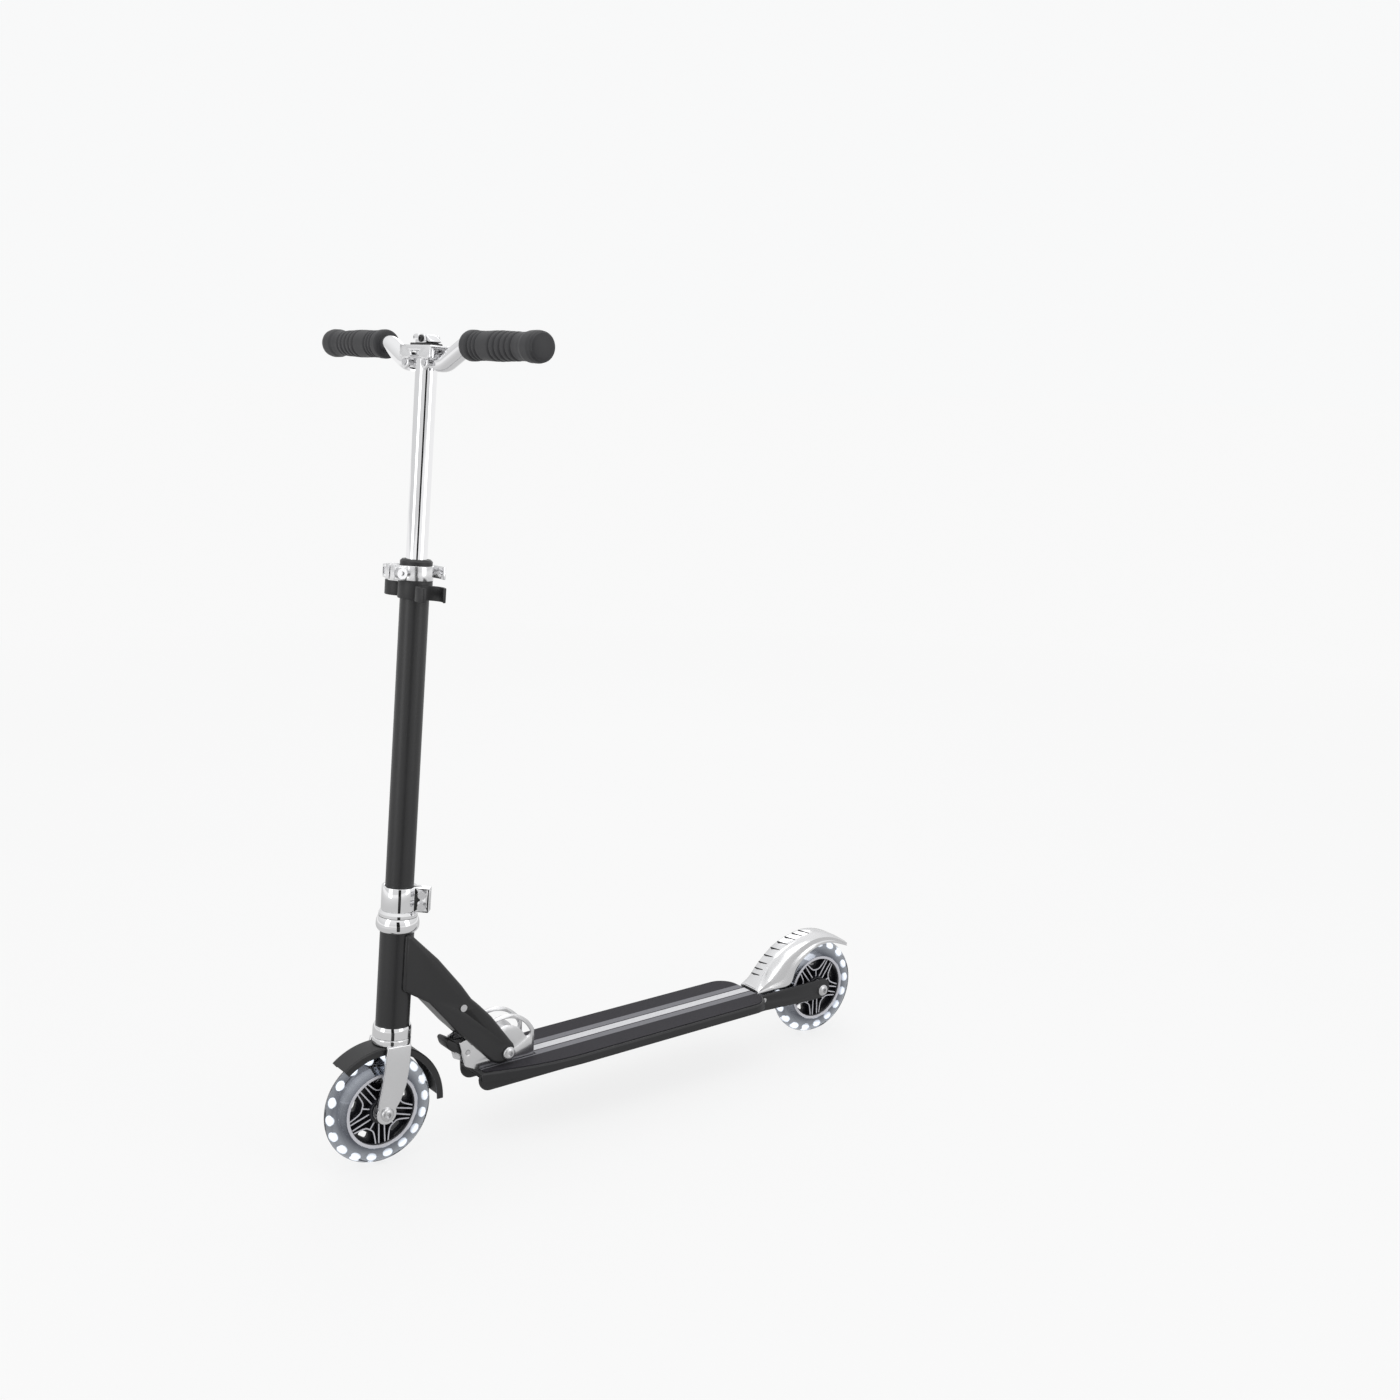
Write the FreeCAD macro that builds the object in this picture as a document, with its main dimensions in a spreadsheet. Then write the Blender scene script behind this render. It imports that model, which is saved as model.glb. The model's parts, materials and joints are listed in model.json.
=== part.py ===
import FreeCAD, Part
import Sketcher
import math
import os

from FreeCAD import Placement, Rotation, Vector

# Folding kick scooter. +X is the way it rolls, +Y the rider's left, +Z up.
# The origin is on the ground, midway between the two axles. Millimetres.

SIZES = {
    # wheels and stance
    "wheelbase": 620, "wheel_radius": 62.5, "wheel_width": 24, "rim_radius": 42,
    "hub_core_radius": 14, "bearing_radius": 11, "bearing_bore": 4, "bearing_width": 7,
    "axle_radius": 3.95, "led_count": 18,
    # deck
    "deck_top": 80, "deck_half_width": 48, "plate_thickness": 3, "rim_depth": 10, "rim_wall": 2.4,
    "tape_thickness": 1, "beam_width": 44, "beam_wall": 3.5, "beam_web": 3.5,
    # fold
    "fold_height": 94.5, "bracket_width": 29, "bracket_wall": 3, "cheek_gap": 30.6,
    "pivot_radius": 4, "stop_radius": 33, "stop_pin_radius": 3.5,
    # steering axis and column
    "head_lean": 4.14, "axis_offset": 12.6, "head_radius": 18, "head_bore": 15,
    "steerer_radius": 12.7, "column_radius": 15, "column_bore": 13, "bar_radius": 11, "bar_wall": 1.5,
    # fork and fender
    "fork_width": 44, "fork_gap": 35, "fender_radius": 72, "fender_width": 31,
    # handles
    "handle_radius": 9.5, "handle_wall": 2, "handle_half_width": 212, "grip_radius": 13.6,
    "hinge_offset": 20,
}

doc = FreeCAD.newDocument("KickScooter")
sheet = doc.addObject("Spreadsheet::Sheet", "Sizes")
for row, (alias, value) in enumerate(SIZES.items(), start=1):
    sheet.set(f"A{row}", alias)
    sheet.set(f"B{row}", str(value))
    sheet.setAlias(f"B{row}", alias)
doc.recompute()

PIECES = []


def size(alias):
    """The number that the sheet holds under an alias."""
    return float(sheet.get(alias))


# ---------------------------------------------------------------- places
half_base = size("wheelbase") / 2
axle_height = size("wheel_radius")
fold_x = 160
fold_z = size("fold_height")
lean = size("head_lean")
axis_x = half_base - size("axis_offset")

AT_FRONT_AXLE = Placement(Vector(half_base, 0, axle_height), Rotation())
AT_REAR_AXLE = Placement(Vector(-half_base, 0, axle_height), Rotation())
# The steering frame: its Z runs up the steering axis from axle height.
ON_AXIS = Placement(Vector(axis_x, 0, axle_height), Rotation(Vector(0, 1, 0), -lean))


def up(height):
    """Distance along the steering axis of a point at this height above the ground."""
    return (height - axle_height) / math.cos(math.radians(lean))


def on_axis_x(height):
    """X of the steering axis at a height above the ground."""
    return axis_x - (height - axle_height) * math.tan(math.radians(lean))


# Stations up the steering axis, from the fork crown to the handle lock.
crown = up(141)
head_low = up(154)
head_high = up(258)
ring_low = up(274)
collar_low = up(280)
steerer_top = up(303)
collar_high = up(306)
bar_low = up(508)
bush_low = up(560)
clips_low = up(609)
clips_high = up(624)
band_low = up(628)
column_top = up(643)
cap_top = up(649)
hinge_z = up(845)
handle_low = up(846)
channel_low = up(849)
channel_top = up(862)
handle_high = up(863)
latch_pin_z = up(868.5)


# ---------------------------------------------------------------- helpers
def keep(obj, label, placement=None):
    """Names an object as one of the finished sub-parts."""
    obj.Label = label
    if placement is not None:
        obj.Placement = placement
    PIECES.append(obj)
    return obj


def new_body(name):
    return doc.addObject("PartDesign::Body", name)


def origin_plane(body, role):
    return next(item for item in body.Origin.OriginFeatures if item.Role == role)


def new_sketch(body, role, name):
    sketch = body.newObject("Sketcher::SketchObject", name)
    sketch.AttachmentSupport = [(origin_plane(body, role), "")]
    sketch.MapMode = "FlatFace"
    return sketch


def draw(sketch, path):
    """Draws a closed outline. Each step is a point, or (through, end) for an arc."""
    start = path[0]
    here = start
    for step in list(path[1:]) + [start]:
        a = Vector(here[0], here[1], 0)
        if isinstance(step[0], tuple):
            through, end = step
            middle = Vector(through[0], through[1], 0)
            sketch.addGeometry(Part.Arc(a, middle, Vector(end[0], end[1], 0)))
            here = end
        else:
            sketch.addGeometry(Part.LineSegment(a, Vector(step[0], step[1], 0)))
            here = step
        if here == start:
            return


def draw_circle(sketch, x, y, radius, formula=None):
    """Draws a circle whose radius is bound to a formula where one is given."""
    index = sketch.addGeometry(Part.Circle(Vector(x, y, 0), Vector(0, 0, 1), radius))
    if formula:
        number = sketch.addConstraint(Sketcher.Constraint("Radius", index, radius))
        sketch.setExpression(f"Constraints[{number}]", formula)


def pad(body, sketch, length, symmetric=True):
    feature = body.newObject("PartDesign::Pad", sketch.Name + "Pad")
    feature.Profile = sketch
    feature.Midplane = symmetric
    feature.setExpression("Length", length)
    sketch.Visibility = False
    return feature


def pocket(body, sketch, length, symmetric=True, backwards=False):
    feature = body.newObject("PartDesign::Pocket", sketch.Name + "Pocket")
    feature.Profile = sketch
    feature.Midplane = symmetric
    feature.Reversed = backwards
    feature.setExpression("Length", length)
    doc.recompute()
    before = feature.BaseFeature.Shape.Volume
    if feature.Shape.Volume > before - 1:
        raise RuntimeError(f"{body.Name}: {sketch.Name} cuts nothing")
    return feature


def turned(name, outline, angle="360", label=None, placement=None):
    """A body of revolution about its own Y axis, from an outline of (radius, y) points."""
    body = new_body(name)
    sketch = new_sketch(body, "XY_Plane", name + "Section")
    draw(sketch, outline)
    feature = body.newObject("PartDesign::Revolution", name + "Turn")
    feature.Profile = sketch
    feature.ReferenceAxis = (sketch, ["V_Axis"])
    feature.Midplane = True
    feature.setExpression("Angle", angle)
    if label:
        keep(body, label, placement)
    return body


def spun(name, outline, label=None, placement=ON_AXIS):
    """A body of revolution about its own Z axis, from an outline of (radius, z) points."""
    body = new_body(name)
    sketch = new_sketch(body, "XZ_Plane", name + "Section")
    draw(sketch, outline)
    feature = body.newObject("PartDesign::Revolution", name + "Turn")
    feature.Profile = sketch
    feature.ReferenceAxis = (sketch, ["V_Axis"])
    feature.Angle = 360
    if label:
        keep(body, label, placement)
    return body


def rod(name, start, end, radius):
    """A Part cylinder from start to end; radius is a formula or a number."""
    start = Vector(*start)
    end = Vector(*end)
    cylinder = doc.addObject("Part::Cylinder", name)
    cylinder.Height = (end - start).Length
    cylinder.setExpression("Radius", str(radius))
    cylinder.Placement = Placement(start, Rotation(Vector(0, 0, 1), end - start))
    return cylinder


def block(name, low, high):
    """A Part box between two corners."""
    box = doc.addObject("Part::Box", name)
    box.Length = high[0] - low[0]
    box.Width = high[1] - low[1]
    box.Height = high[2] - low[2]
    box.Placement.Base = Vector(*low)
    return box


def fuse(name, shapes):
    union = doc.addObject("Part::MultiFuse", name)
    union.Shapes = shapes
    union.Refine = True
    return union


def group(name, shapes):
    compound = doc.addObject("Part::Compound", name)
    compound.Links = shapes
    return compound


def cut(name, base, tool):
    doc.recompute()
    feature = doc.addObject("Part::Cut", name)
    feature.Base = base
    feature.Tool = tool
    feature.Refine = True
    doc.recompute()
    if feature.Shape.Volume > base.Shape.Volume - 0.5:
        raise RuntimeError(f"{name} cuts nothing")
    return feature


def rounded(name, base, radius, chosen):
    """Fillets the edges that chosen(edge) picks."""
    doc.recompute()
    feature = doc.addObject("Part::Fillet", name)
    feature.Base = base
    numbers = [n for n, edge in enumerate(base.Shape.Edges, start=1) if chosen(edge)]
    feature.Edges = [(n, radius, radius) for n in numbers]
    doc.recompute()
    return feature


def bent_wire(points, bend):
    """Straight runs between points, joined by tangent arcs of radius bend."""
    points = [Vector(*p) for p in points]
    edges = []
    here = points[0]
    for before, corner, after in zip(points, points[1:], points[2:]):
        incoming = (corner - before).normalize()
        outgoing = (after - corner).normalize()
        turn = incoming.getAngle(outgoing)
        setback = bend * math.tan(turn / 2)
        first = corner - incoming * setback
        last = corner + outgoing * setback
        middle_way = (outgoing - incoming).normalize()
        middle = corner + middle_way * (bend / math.cos(turn / 2) - bend)
        edges.append(Part.LineSegment(here, first).toShape())
        edges.append(Part.Arc(first, middle, last).toShape())
        here = last
    edges.append(Part.LineSegment(here, points[-1]).toShape())
    return Part.Wire(edges)


def pipe_along(wire, radius):
    """A solid round bar along a wire."""
    start = wire.Edges[0]
    section = Part.Circle(start.valueAt(start.FirstParameter), start.tangentAt(start.FirstParameter), radius)
    return wire.makePipeShell([Part.Wire(section.toShape())], True, False)


def coil(radius, wire_radius, pitch, height):
    """A helical spring about Z, standing on Z = 0."""
    helix = Part.makeHelix(pitch, height, radius)
    section = Part.Circle(Vector(radius, 0, 0), Vector(0, 1, 0), wire_radius)
    return helix.makePipeShell([Part.Wire(section.toShape())], True, False)


def shape_piece(name, shape, placement):
    feature = doc.addObject("Part::Feature", name)
    feature.Shape = shape
    feature.Placement = placement
    return feature


# ---------------------------------------------------------------- deck
beam_wall = size("beam_wall")
beam_half = size("beam_width") / 2
deck_top = size("deck_top")
plate_bottom = deck_top - size("plate_thickness")
web_bottom = plate_bottom - size("beam_web")
nose_x = 197
deck_rear = -205
stay_low = 52
beam_low = 56
stay_radius = 12.5
brake_x = -212
brake_z = 71
brake_pin_radius = 3


def deck_beam():
    """Channel under the deck; its walls run on behind as the rear dropouts."""
    body = new_body("DeckBeam")
    side = new_sketch(body, "XZ_Plane", "BeamSide")
    end_x = -half_base
    end_z = plate_bottom - stay_radius
    draw(side, [
        (end_x, plate_bottom),
        (nose_x - 6, plate_bottom),
        ((nose_x - 1, 74), (nose_x, 69)),
        ((nose_x - 4, 60), (nose_x - 14, beam_low)),
        (-215, beam_low),
        (-290, stay_low),
        (end_x, stay_low),
        ((end_x - stay_radius, end_z), (end_x, plate_bottom)),
    ])
    pad(body, side, "Sizes.beam_width")
    inside = new_sketch(body, "XZ_Plane", "BeamInside")
    draw(inside, [(-400, 30), (250, 30), (250, web_bottom), (deck_rear, web_bottom),
                  (deck_rear, 110), (-400, 110)])
    pocket(body, inside, "Sizes.beam_width - 2 * Sizes.beam_wall")
    holes = new_sketch(body, "XZ_Plane", "AxleHole")
    draw_circle(holes, -half_base, axle_height, size("axle_radius"), "Sizes.axle_radius + 0.05")
    draw_circle(holes, brake_x, brake_z, brake_pin_radius, f"{brake_pin_radius} + 0.02")
    pocket(body, holes, "Sizes.beam_width + 10")
    return body


def plate_outline(inset):
    """Half of the deck plate's plan, nose to tail, then mirrored."""
    wide = size("deck_half_width") - inset
    flare_x = 70
    front_x = nose_x - 2 - inset
    front_y = 25 - inset * 0.8
    reach = front_x - flare_x
    radius = (reach ** 2 + (wide - front_y) ** 2) / (2 * (wide - front_y))
    middle_x = flare_x + reach * 0.55
    middle_y = wide - radius + math.sqrt(radius ** 2 - (middle_x - flare_x) ** 2)
    rear_x = deck_rear + inset
    corner = 26 - inset
    bulge = corner * (1 - math.sqrt(0.5))
    shoulder_x = rear_x + corner
    left = [(front_x, front_y), ((middle_x, middle_y), (flare_x, wide)), (shoulder_x, wide),
            ((rear_x + bulge, wide - bulge), (rear_x, wide - corner))]
    right = [(rear_x, corner - wide), ((rear_x + bulge, bulge - wide), (shoulder_x, -wide)), (flare_x, -wide),
             ((middle_x, -middle_y), (front_x, -front_y))]
    return left + right


def deck_plate():
    """Pressed plate with its edge turned down all round."""
    body = new_body("DeckPlate")
    plan = new_sketch(body, "XY_Plane", "PlatePlan")
    plan.AttachmentOffset = Placement(Vector(0, 0, deck_top - size("rim_depth")), Rotation())
    draw(plan, plate_outline(0))
    pad(body, plan, "Sizes.rim_depth", symmetric=False)
    under = new_sketch(body, "XY_Plane", "PlateUnder")
    under.AttachmentOffset = Placement(Vector(0, 0, deck_top - size("rim_depth")), Rotation())
    draw(under, plate_outline(size("rim_wall")))
    pocket(body, under, "Sizes.rim_depth - Sizes.plate_thickness", symmetric=False, backwards=True)
    base = body.Tip
    fillet = body.newObject("PartDesign::Fillet", "PlateEdge")
    top_edges = [f"Edge{n}" for n, e in enumerate(base.Shape.Edges, start=1)
                 if e.BoundBox.ZMin > deck_top - 0.01]
    fillet.Base = (base, top_edges)
    fillet.Radius = 2.2
    # the nose and tail rims open where the beam passes through
    gap = new_sketch(body, "XZ_Plane", "PlateGap")
    low = deck_top - size("rim_depth") - 5
    draw(gap, [(-250, low), (250, low), (250, plate_bottom), (-250, plate_bottom)])
    pocket(body, gap, "Sizes.beam_width + 0.4")
    return body


def grip_tape():
    """Grit sheet on top, cut out round the fold bracket."""
    body = new_body("GripTape")
    plan = new_sketch(body, "XY_Plane", "TapePlan")
    plan.AttachmentOffset = Placement(Vector(0, 0, deck_top), Rotation())
    draw(plan, plate_outline(3.2))
    pad(body, plan, "Sizes.tape_thickness", symmetric=False)
    window = new_sketch(body, "XY_Plane", "TapeWindow")
    window.AttachmentOffset = Placement(Vector(0, 0, deck_top - 2), Rotation())
    half = size("bracket_width") / 2 + 0.6
    draw(window, [(119, -half), (220, -half), (220, half), (119, half)])
    pocket(body, window, "10", symmetric=False, backwards=True)
    return body


# ---------------------------------------------------------------- fold bracket
bracket_half = size("bracket_width") / 2
bracket_inner = bracket_half - size("bracket_wall")
stop_radius = size("stop_radius")
latch_x = 207
latch_z = 104


def around_fold(radius, angle):
    """A point at a polar angle about the fold pivot, in the XZ plane."""
    turn = math.radians(angle)
    return (fold_x + radius * math.cos(turn), fold_z + radius * math.sin(turn))


def fold_bracket():
    """U-shaped plate on the deck: two walls, a floor and an arc slot for the stop pin."""
    body = new_body("FoldBracket")
    side = new_sketch(body, "XZ_Plane", "BracketSide")
    crown = 42
    draw(side, [
        (122, deck_top), (194, deck_top), (210, 88), (217.6, 117), around_fold(crown, 50),
        (around_fold(crown, 100), around_fold(crown, 157)),
    ])
    pad(body, side, "Sizes.bracket_width")
    inside = new_sketch(body, "XZ_Plane", "BracketInside")
    floor = deck_top + 4
    draw(inside, [(100, floor), (250, floor), (250, 150), (100, 150)])
    pocket(body, inside, "Sizes.bracket_width - 2 * Sizes.bracket_wall")
    slot = new_sketch(body, "XZ_Plane", "StopSlot")
    half = size("stop_pin_radius") + 0.6
    first, last = 58, 155
    outer = stop_radius + half
    inner = stop_radius - half
    middle = (first + last) / 2
    end_gap = math.degrees(half / stop_radius)
    draw(slot, [
        around_fold(inner, first), (around_fold(stop_radius, first - end_gap), around_fold(outer, first)),
        (around_fold(outer, middle), around_fold(outer, last)),
        (around_fold(stop_radius, last + end_gap), around_fold(inner, last)),
        (around_fold(inner, middle), around_fold(inner, first)),
    ])
    pocket(body, slot, "Sizes.bracket_width + 10")
    holes = new_sketch(body, "XZ_Plane", "BracketHoles")
    draw_circle(holes, fold_x, fold_z, 4, "Sizes.pivot_radius + 0.05")
    draw_circle(holes, latch_x, latch_z, 2.5, "2.52")
    pocket(body, holes, "Sizes.bracket_width + 10")
    return body


def bracket_bolts(grow=0.0):
    """Four button-head bolts through the bracket floor, the plate and the web."""
    floor = deck_top + 4
    shapes = []
    for n, (x, y) in enumerate([(134, -6.5), (134, 6.5), (186, -6.5), (186, 6.5)]):
        shank = rod(f"FloorShank{n}_{int(grow * 10)}", (x, y, web_bottom - 4), (x, y, floor + 1), 2.5 + grow)
        if grow:
            shapes.append(shank)
            continue
        head = doc.addObject("Part::Cone", f"FloorHead{n}")
        head.Radius1 = 4.6
        head.Radius2 = 2.8
        head.Height = 2.8
        head.Placement.Base = Vector(x, y, floor)
        nut = doc.addObject("Part::Prism", f"FloorNut{n}")
        nut.Polygon = 6
        nut.Circumradius = 4.7
        nut.Height = 3.5
        nut.Placement.Base = Vector(x, y, web_bottom - 3.5)
        shapes.append(fuse(f"FloorBolt{n}", [head, shank, nut]))
    return group(f"FloorBolts_{int(grow * 10)}", shapes)


def hex_nut(name, centre_x, centre_z, y, thickness, across, bore):
    """Domed hex nut on the Y axis, its face at y and its body towards -Y."""
    nut = doc.addObject("Part::Prism", name + "Hex")
    nut.Polygon = 6
    nut.Circumradius = across / math.sqrt(3)
    nut.Height = thickness
    nut.Placement = Placement(Vector(centre_x, y, centre_z), Rotation(Vector(1, 0, 0), 90))
    hole = rod(name + "Bore", (centre_x, y + 1, centre_z), (centre_x, y - thickness - 1, centre_z), bore)
    return cut(name, nut, hole)


def cross_bolt(name, x, z, head_y, end_y, radius, head_radius, head_height):
    """Bolt along Y: a domed head with a hex socket on the left, the shank to end_y."""
    body = new_body(name)
    sketch = new_sketch(body, "XY_Plane", name + "Section")
    rim = head_height * 0.45
    crest = head_y + head_height
    draw(sketch, [(0, end_y), (radius, end_y), (radius, head_y), (head_radius, head_y),
                  (head_radius, head_y + rim),
                  ((head_radius * 0.75, head_y + head_height * 0.88), (head_radius * 0.3, crest)),
                  (0, crest)])
    turn = body.newObject("PartDesign::Revolution", name + "Turn")
    turn.Profile = sketch
    turn.ReferenceAxis = (sketch, ["V_Axis"])
    turn.Angle = 360
    body.Placement.Base = Vector(x, 0, z)
    socket = doc.addObject("Part::Prism", name + "Socket")
    socket.Polygon = 6
    socket.Circumradius = head_radius * 0.42
    socket.Height = head_height * 0.6 + 1
    socket.Placement = Placement(Vector(x, head_y + head_height + 1, z), Rotation(Vector(1, 0, 0), 90))
    return cut(name + "Bolt", body, socket)


# ---------------------------------------------------------------- wheels
led_radius = 46.5


def tyre_outline():
    """Half section of the tyre, with the groove that holds the lamps."""
    half = size("wheel_width") / 2
    outer = size("wheel_radius")
    inner = size("rim_radius")
    groove = 4.2
    return [
        (inner, -half), (outer - 9.5, -half), ((outer, 0), (outer - 9.5, half)), (inner, half),
        (inner, groove), (led_radius + 1, groove), (led_radius + 1, -groove), (inner, -groove),
    ]


def hub(name):
    """Rim ring, web and bearing core, with windows between the spokes."""
    half = size("wheel_width") / 2
    rim = size("rim_radius")
    core = size("hub_core_radius")
    seat = size("bearing_radius")
    shoulder = half - size("bearing_width")
    web = 5
    section = [
        (seat, -half), (core, -half), (core + 2, -web), (rim - 5.5, -web), (rim - 4.5, -half), (rim, -half),
        (rim, half), (rim - 4.5, half), (rim - 5.5, web), (core + 2, web), (core, half), (seat, half),
        (seat, shoulder), (seat - 2.5, shoulder), (seat - 2.5, -shoulder), (seat, -shoulder),
    ]
    body = turned(name, section)
    window = new_sketch(body, "XZ_Plane", name + "Window")
    draw(window, [(-6, 24), (6, 24), (6.5, 31), ((0, 35.5), (-6.5, 31))])
    pocket(body, window, "40")
    arch = body.Tip
    slot = new_sketch(body, "XZ_Plane", name + "Slot")
    tilt = math.radians(54)
    along = (math.cos(tilt), math.sin(tilt))
    across = (-along[1], along[0])

    def at(r, s):
        return (along[0] * r + across[0] * s, along[1] * r + across[1] * s)

    draw(slot, [at(18, -1.8), at(34.5, -1.8), at(34.5, 1.8), at(18, 1.8)])
    pocket(body, slot, "40")
    gap = body.Tip
    pattern = body.newObject("PartDesign::PolarPattern", name + "Spokes")
    pattern.Originals = [arch, gap]
    pattern.Axis = (window, ["N_Axis"])
    pattern.Angle = 360
    pattern.Occurrences = 5
    body.Tip = pattern
    return body


def led_ring(name):
    """Flexible strip round the rim with a row of lamps standing on it."""
    base = doc.addObject("Part::Cylinder", name + "Outer")
    base.setExpression("Radius", "Sizes.rim_radius + 1.2")
    base.Height = 7
    base.Placement = Placement(Vector(0, 3.5, 0), Rotation(Vector(1, 0, 0), 90))
    core = doc.addObject("Part::Cylinder", name + "Inner")
    core.setExpression("Radius", "Sizes.rim_radius + 0.05")
    core.Height = 9
    core.Placement = Placement(Vector(0, 4.5, 0), Rotation(Vector(1, 0, 0), 90))
    strip = cut(name + "Strip", base, core)
    lamps = []
    count = int(size("led_count"))
    for n in range(count):
        turn = 2 * math.pi * n / count
        inner = size("rim_radius") + 0.6
        ray = (math.cos(turn), 0, math.sin(turn))
        lamps.append(rod(f"{name}Lamp{n}", [c * inner for c in ray], [c * led_radius for c in ray], 1.8))
    return fuse(name, [strip] + lamps)


def bearing_pair(name, y_inner):
    """Two deep-groove bearings on the Y axis."""
    width = size("bearing_width")
    rings = []
    for side, start in (("L", y_inner), ("R", -y_inner - width)):
        outline = [(size("bearing_bore"), start), (size("bearing_radius") - 0.02, start),
                   (size("bearing_radius") - 0.02, start + width), (size("bearing_bore"), start + width)]
        rings.append(turned(name + side, outline))
    return group(name, rings)


def wheel(side, place):
    """All the pieces that turn with one wheel."""
    title = side.capitalize()
    shoulder = size("wheel_width") / 2 - size("bearing_width")
    turned(title + "Tyre", tyre_outline(), label=f"{side}_tyre", placement=place)
    keep(hub(title + "Hub"), f"{side}_hub", place)
    keep(led_ring(title + "Leds"), f"{side}_led_ring", place)
    keep(bearing_pair(title + "Bearings", shoulder), f"{side}_bearings", place)
    turned(title + "Spacer", [(4.0, -shoulder), (6.2, -shoulder), (6.2, shoulder), (4.0, shoulder)],
           label=f"{side}_bearing_spacer", placement=place)


def axle_set(side, x, outer_y, inner_y, place):
    """Axle bolt, nut and the two outer spacers of one wheel."""
    title = side.capitalize()
    bolt = cross_bolt(title + "Axle", x, axle_height, outer_y, -outer_y - 8, size("axle_radius"), 7.2, 4.2)
    keep(bolt, f"{side}_axle")
    nut = hex_nut(title + "AxleNut", x, axle_height, -outer_y, 7, 13, "Sizes.axle_radius")
    keep(nut, f"{side}_axle_nut")
    start = size("wheel_width") / 2 + 0.3
    rings = [turned(f"{title}Washer{n}", [(3.96, a), (6.4, a), (6.4, b), (3.96, b)])
             for n, (a, b) in enumerate([(start, inner_y), (-inner_y, -start)])]
    keep(group(title + "Spacers", rings), f"{side}_axle_spacers", place)


# ---------------------------------------------------------------- rear brake
guard_width = 35
guard_wall = 2


def spline_through(points):
    """A smooth sketch curve through points."""
    spline = Part.BSplineCurve()
    spline.interpolate([Vector(a, b, 0) for a, b in points])
    return spline


def mudguard():
    """Sprung mudguard that is pressed on the wheel: a curved skin with side skirts."""
    body = new_body("Mudguard")
    outer = [(-206, 82.5), (-216, 95), (-229, 110), (-252, 127), (-280, 136), (-306, 138),
             (-332, 131), (-356, 117)]
    inner = [(-355, 114.5), (-331, 128.5), (-306, 135.6), (-281, 133.6), (-253.5, 124.8), (-231, 108.4),
             (-218, 93.6), (-208.6, 82.5)]
    side = new_sketch(body, "XZ_Plane", "GuardSide")
    side.addGeometry(spline_through(outer))
    edge = [outer[-1], (-354.5, 112), (-326, 122), (-303, 121), (-283, 112), (-268, 99), (-258, 80.5),
            (-232, 79.5), (-206, 79.5), outer[0]]
    for a, b in zip(edge, edge[1:]):
        side.addGeometry(Part.LineSegment(Vector(a[0], a[1], 0), Vector(b[0], b[1], 0)))
    pad(body, side, str(guard_width))
    inside = new_sketch(body, "XZ_Plane", "GuardInside")
    inside.addGeometry(spline_through(inner))
    rest = [inner[-1], (-208.6, 60), (-380, 60), (-380, 100), inner[0]]
    for a, b in zip(rest, rest[1:]):
        inside.addGeometry(Part.LineSegment(Vector(a[0], a[1], 0), Vector(b[0], b[1], 0)))
    pocket(body, inside, str(guard_width - 2 * guard_wall))
    half = 10
    barrel = rod("GuardBarrel", (brake_x, -half, brake_z), (brake_x, half, brake_z), 5.5)
    strap = block("GuardStrap", (brake_x - 2.5, -half, brake_z), (brake_x + 5.5, half, brake_z + 13))
    whole = fuse("GuardWhole", [body, barrel, strap])
    hole = rod("GuardPinHole", (brake_x, -30, brake_z), (brake_x, 30, brake_z), brake_pin_radius + 0.07)
    return cut("GuardDrilled", whole, hole)


def hinge_pin(name, x, z, half_length, radius):
    """A round pin across the scooter."""
    return rod(name, (x, -half_length, z), (x, half_length, z), radius)


# ---------------------------------------------------------------- folding frame
rivet_x = 216.8
rivet_z = 161
# polar angle of the stop pin in its slot when the stem is up
stop_rest = 62


def down_tube():
    """Box-shaped stem from the head tube down to the two cheeks at the pivot."""
    body = new_body("DownTube")
    side = new_sketch(body, "XZ_Plane", "StemSide")
    draw(side, [
        (on_axis_x(187), 196), (257, 175), (225, 136), (180, 88),
        ((168, 83.7), (158, 85.2)), ((151.5, 92.5), (154.5, 106)), (180, 141.5), (196, 159), (205, 168),
        (217, 186), (245, 222), (277, 256), (on_axis_x(252), 256),
    ])
    pad(body, side, "Sizes.beam_width")
    cheeks = new_sketch(body, "XZ_Plane", "CheekGap")
    draw_circle(cheeks, fold_x, fold_z, 64)
    pocket(body, cheeks, "Sizes.cheek_gap")
    hollow = new_sketch(body, "XZ_Plane", "StemHollow")
    draw(hollow, [(200, 122), (222, 144), (258, 188), (262, 231), (248, 216), (220, 180), (207, 162),
                  (190, 142)])
    pocket(body, hollow, "Sizes.beam_width - 8")
    holes = new_sketch(body, "XZ_Plane", "StemHoles")
    draw_circle(holes, fold_x, fold_z, 4, "Sizes.pivot_radius + 0.05")
    draw_circle(holes, rivet_x, rivet_z, 2.5, "2.5")
    pocket(body, holes, "Sizes.beam_width + 10")

    def side_edge(edge):
        box = edge.BoundBox
        return box.YLength < 0.01 and abs(abs(box.YMin) - beam_half) < 0.01 and not edge.isClosed()

    soft = rounded("StemRounded", body, 4.0, side_edge)
    head = rod("HeadShadow", (0, 0, head_low - 30), (0, 0, head_high + 40), "Sizes.head_radius + 0.02")
    head.Placement = ON_AXIS.multiply(head.Placement)
    x, z = around_fold(stop_radius, stop_rest)
    blind = rod("StopBlind", (x, -20, z), (x, 20, z), "Sizes.stop_pin_radius + 0.02")
    return cut("StemCut", soft, group("StemTools", [head, blind]))


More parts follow.
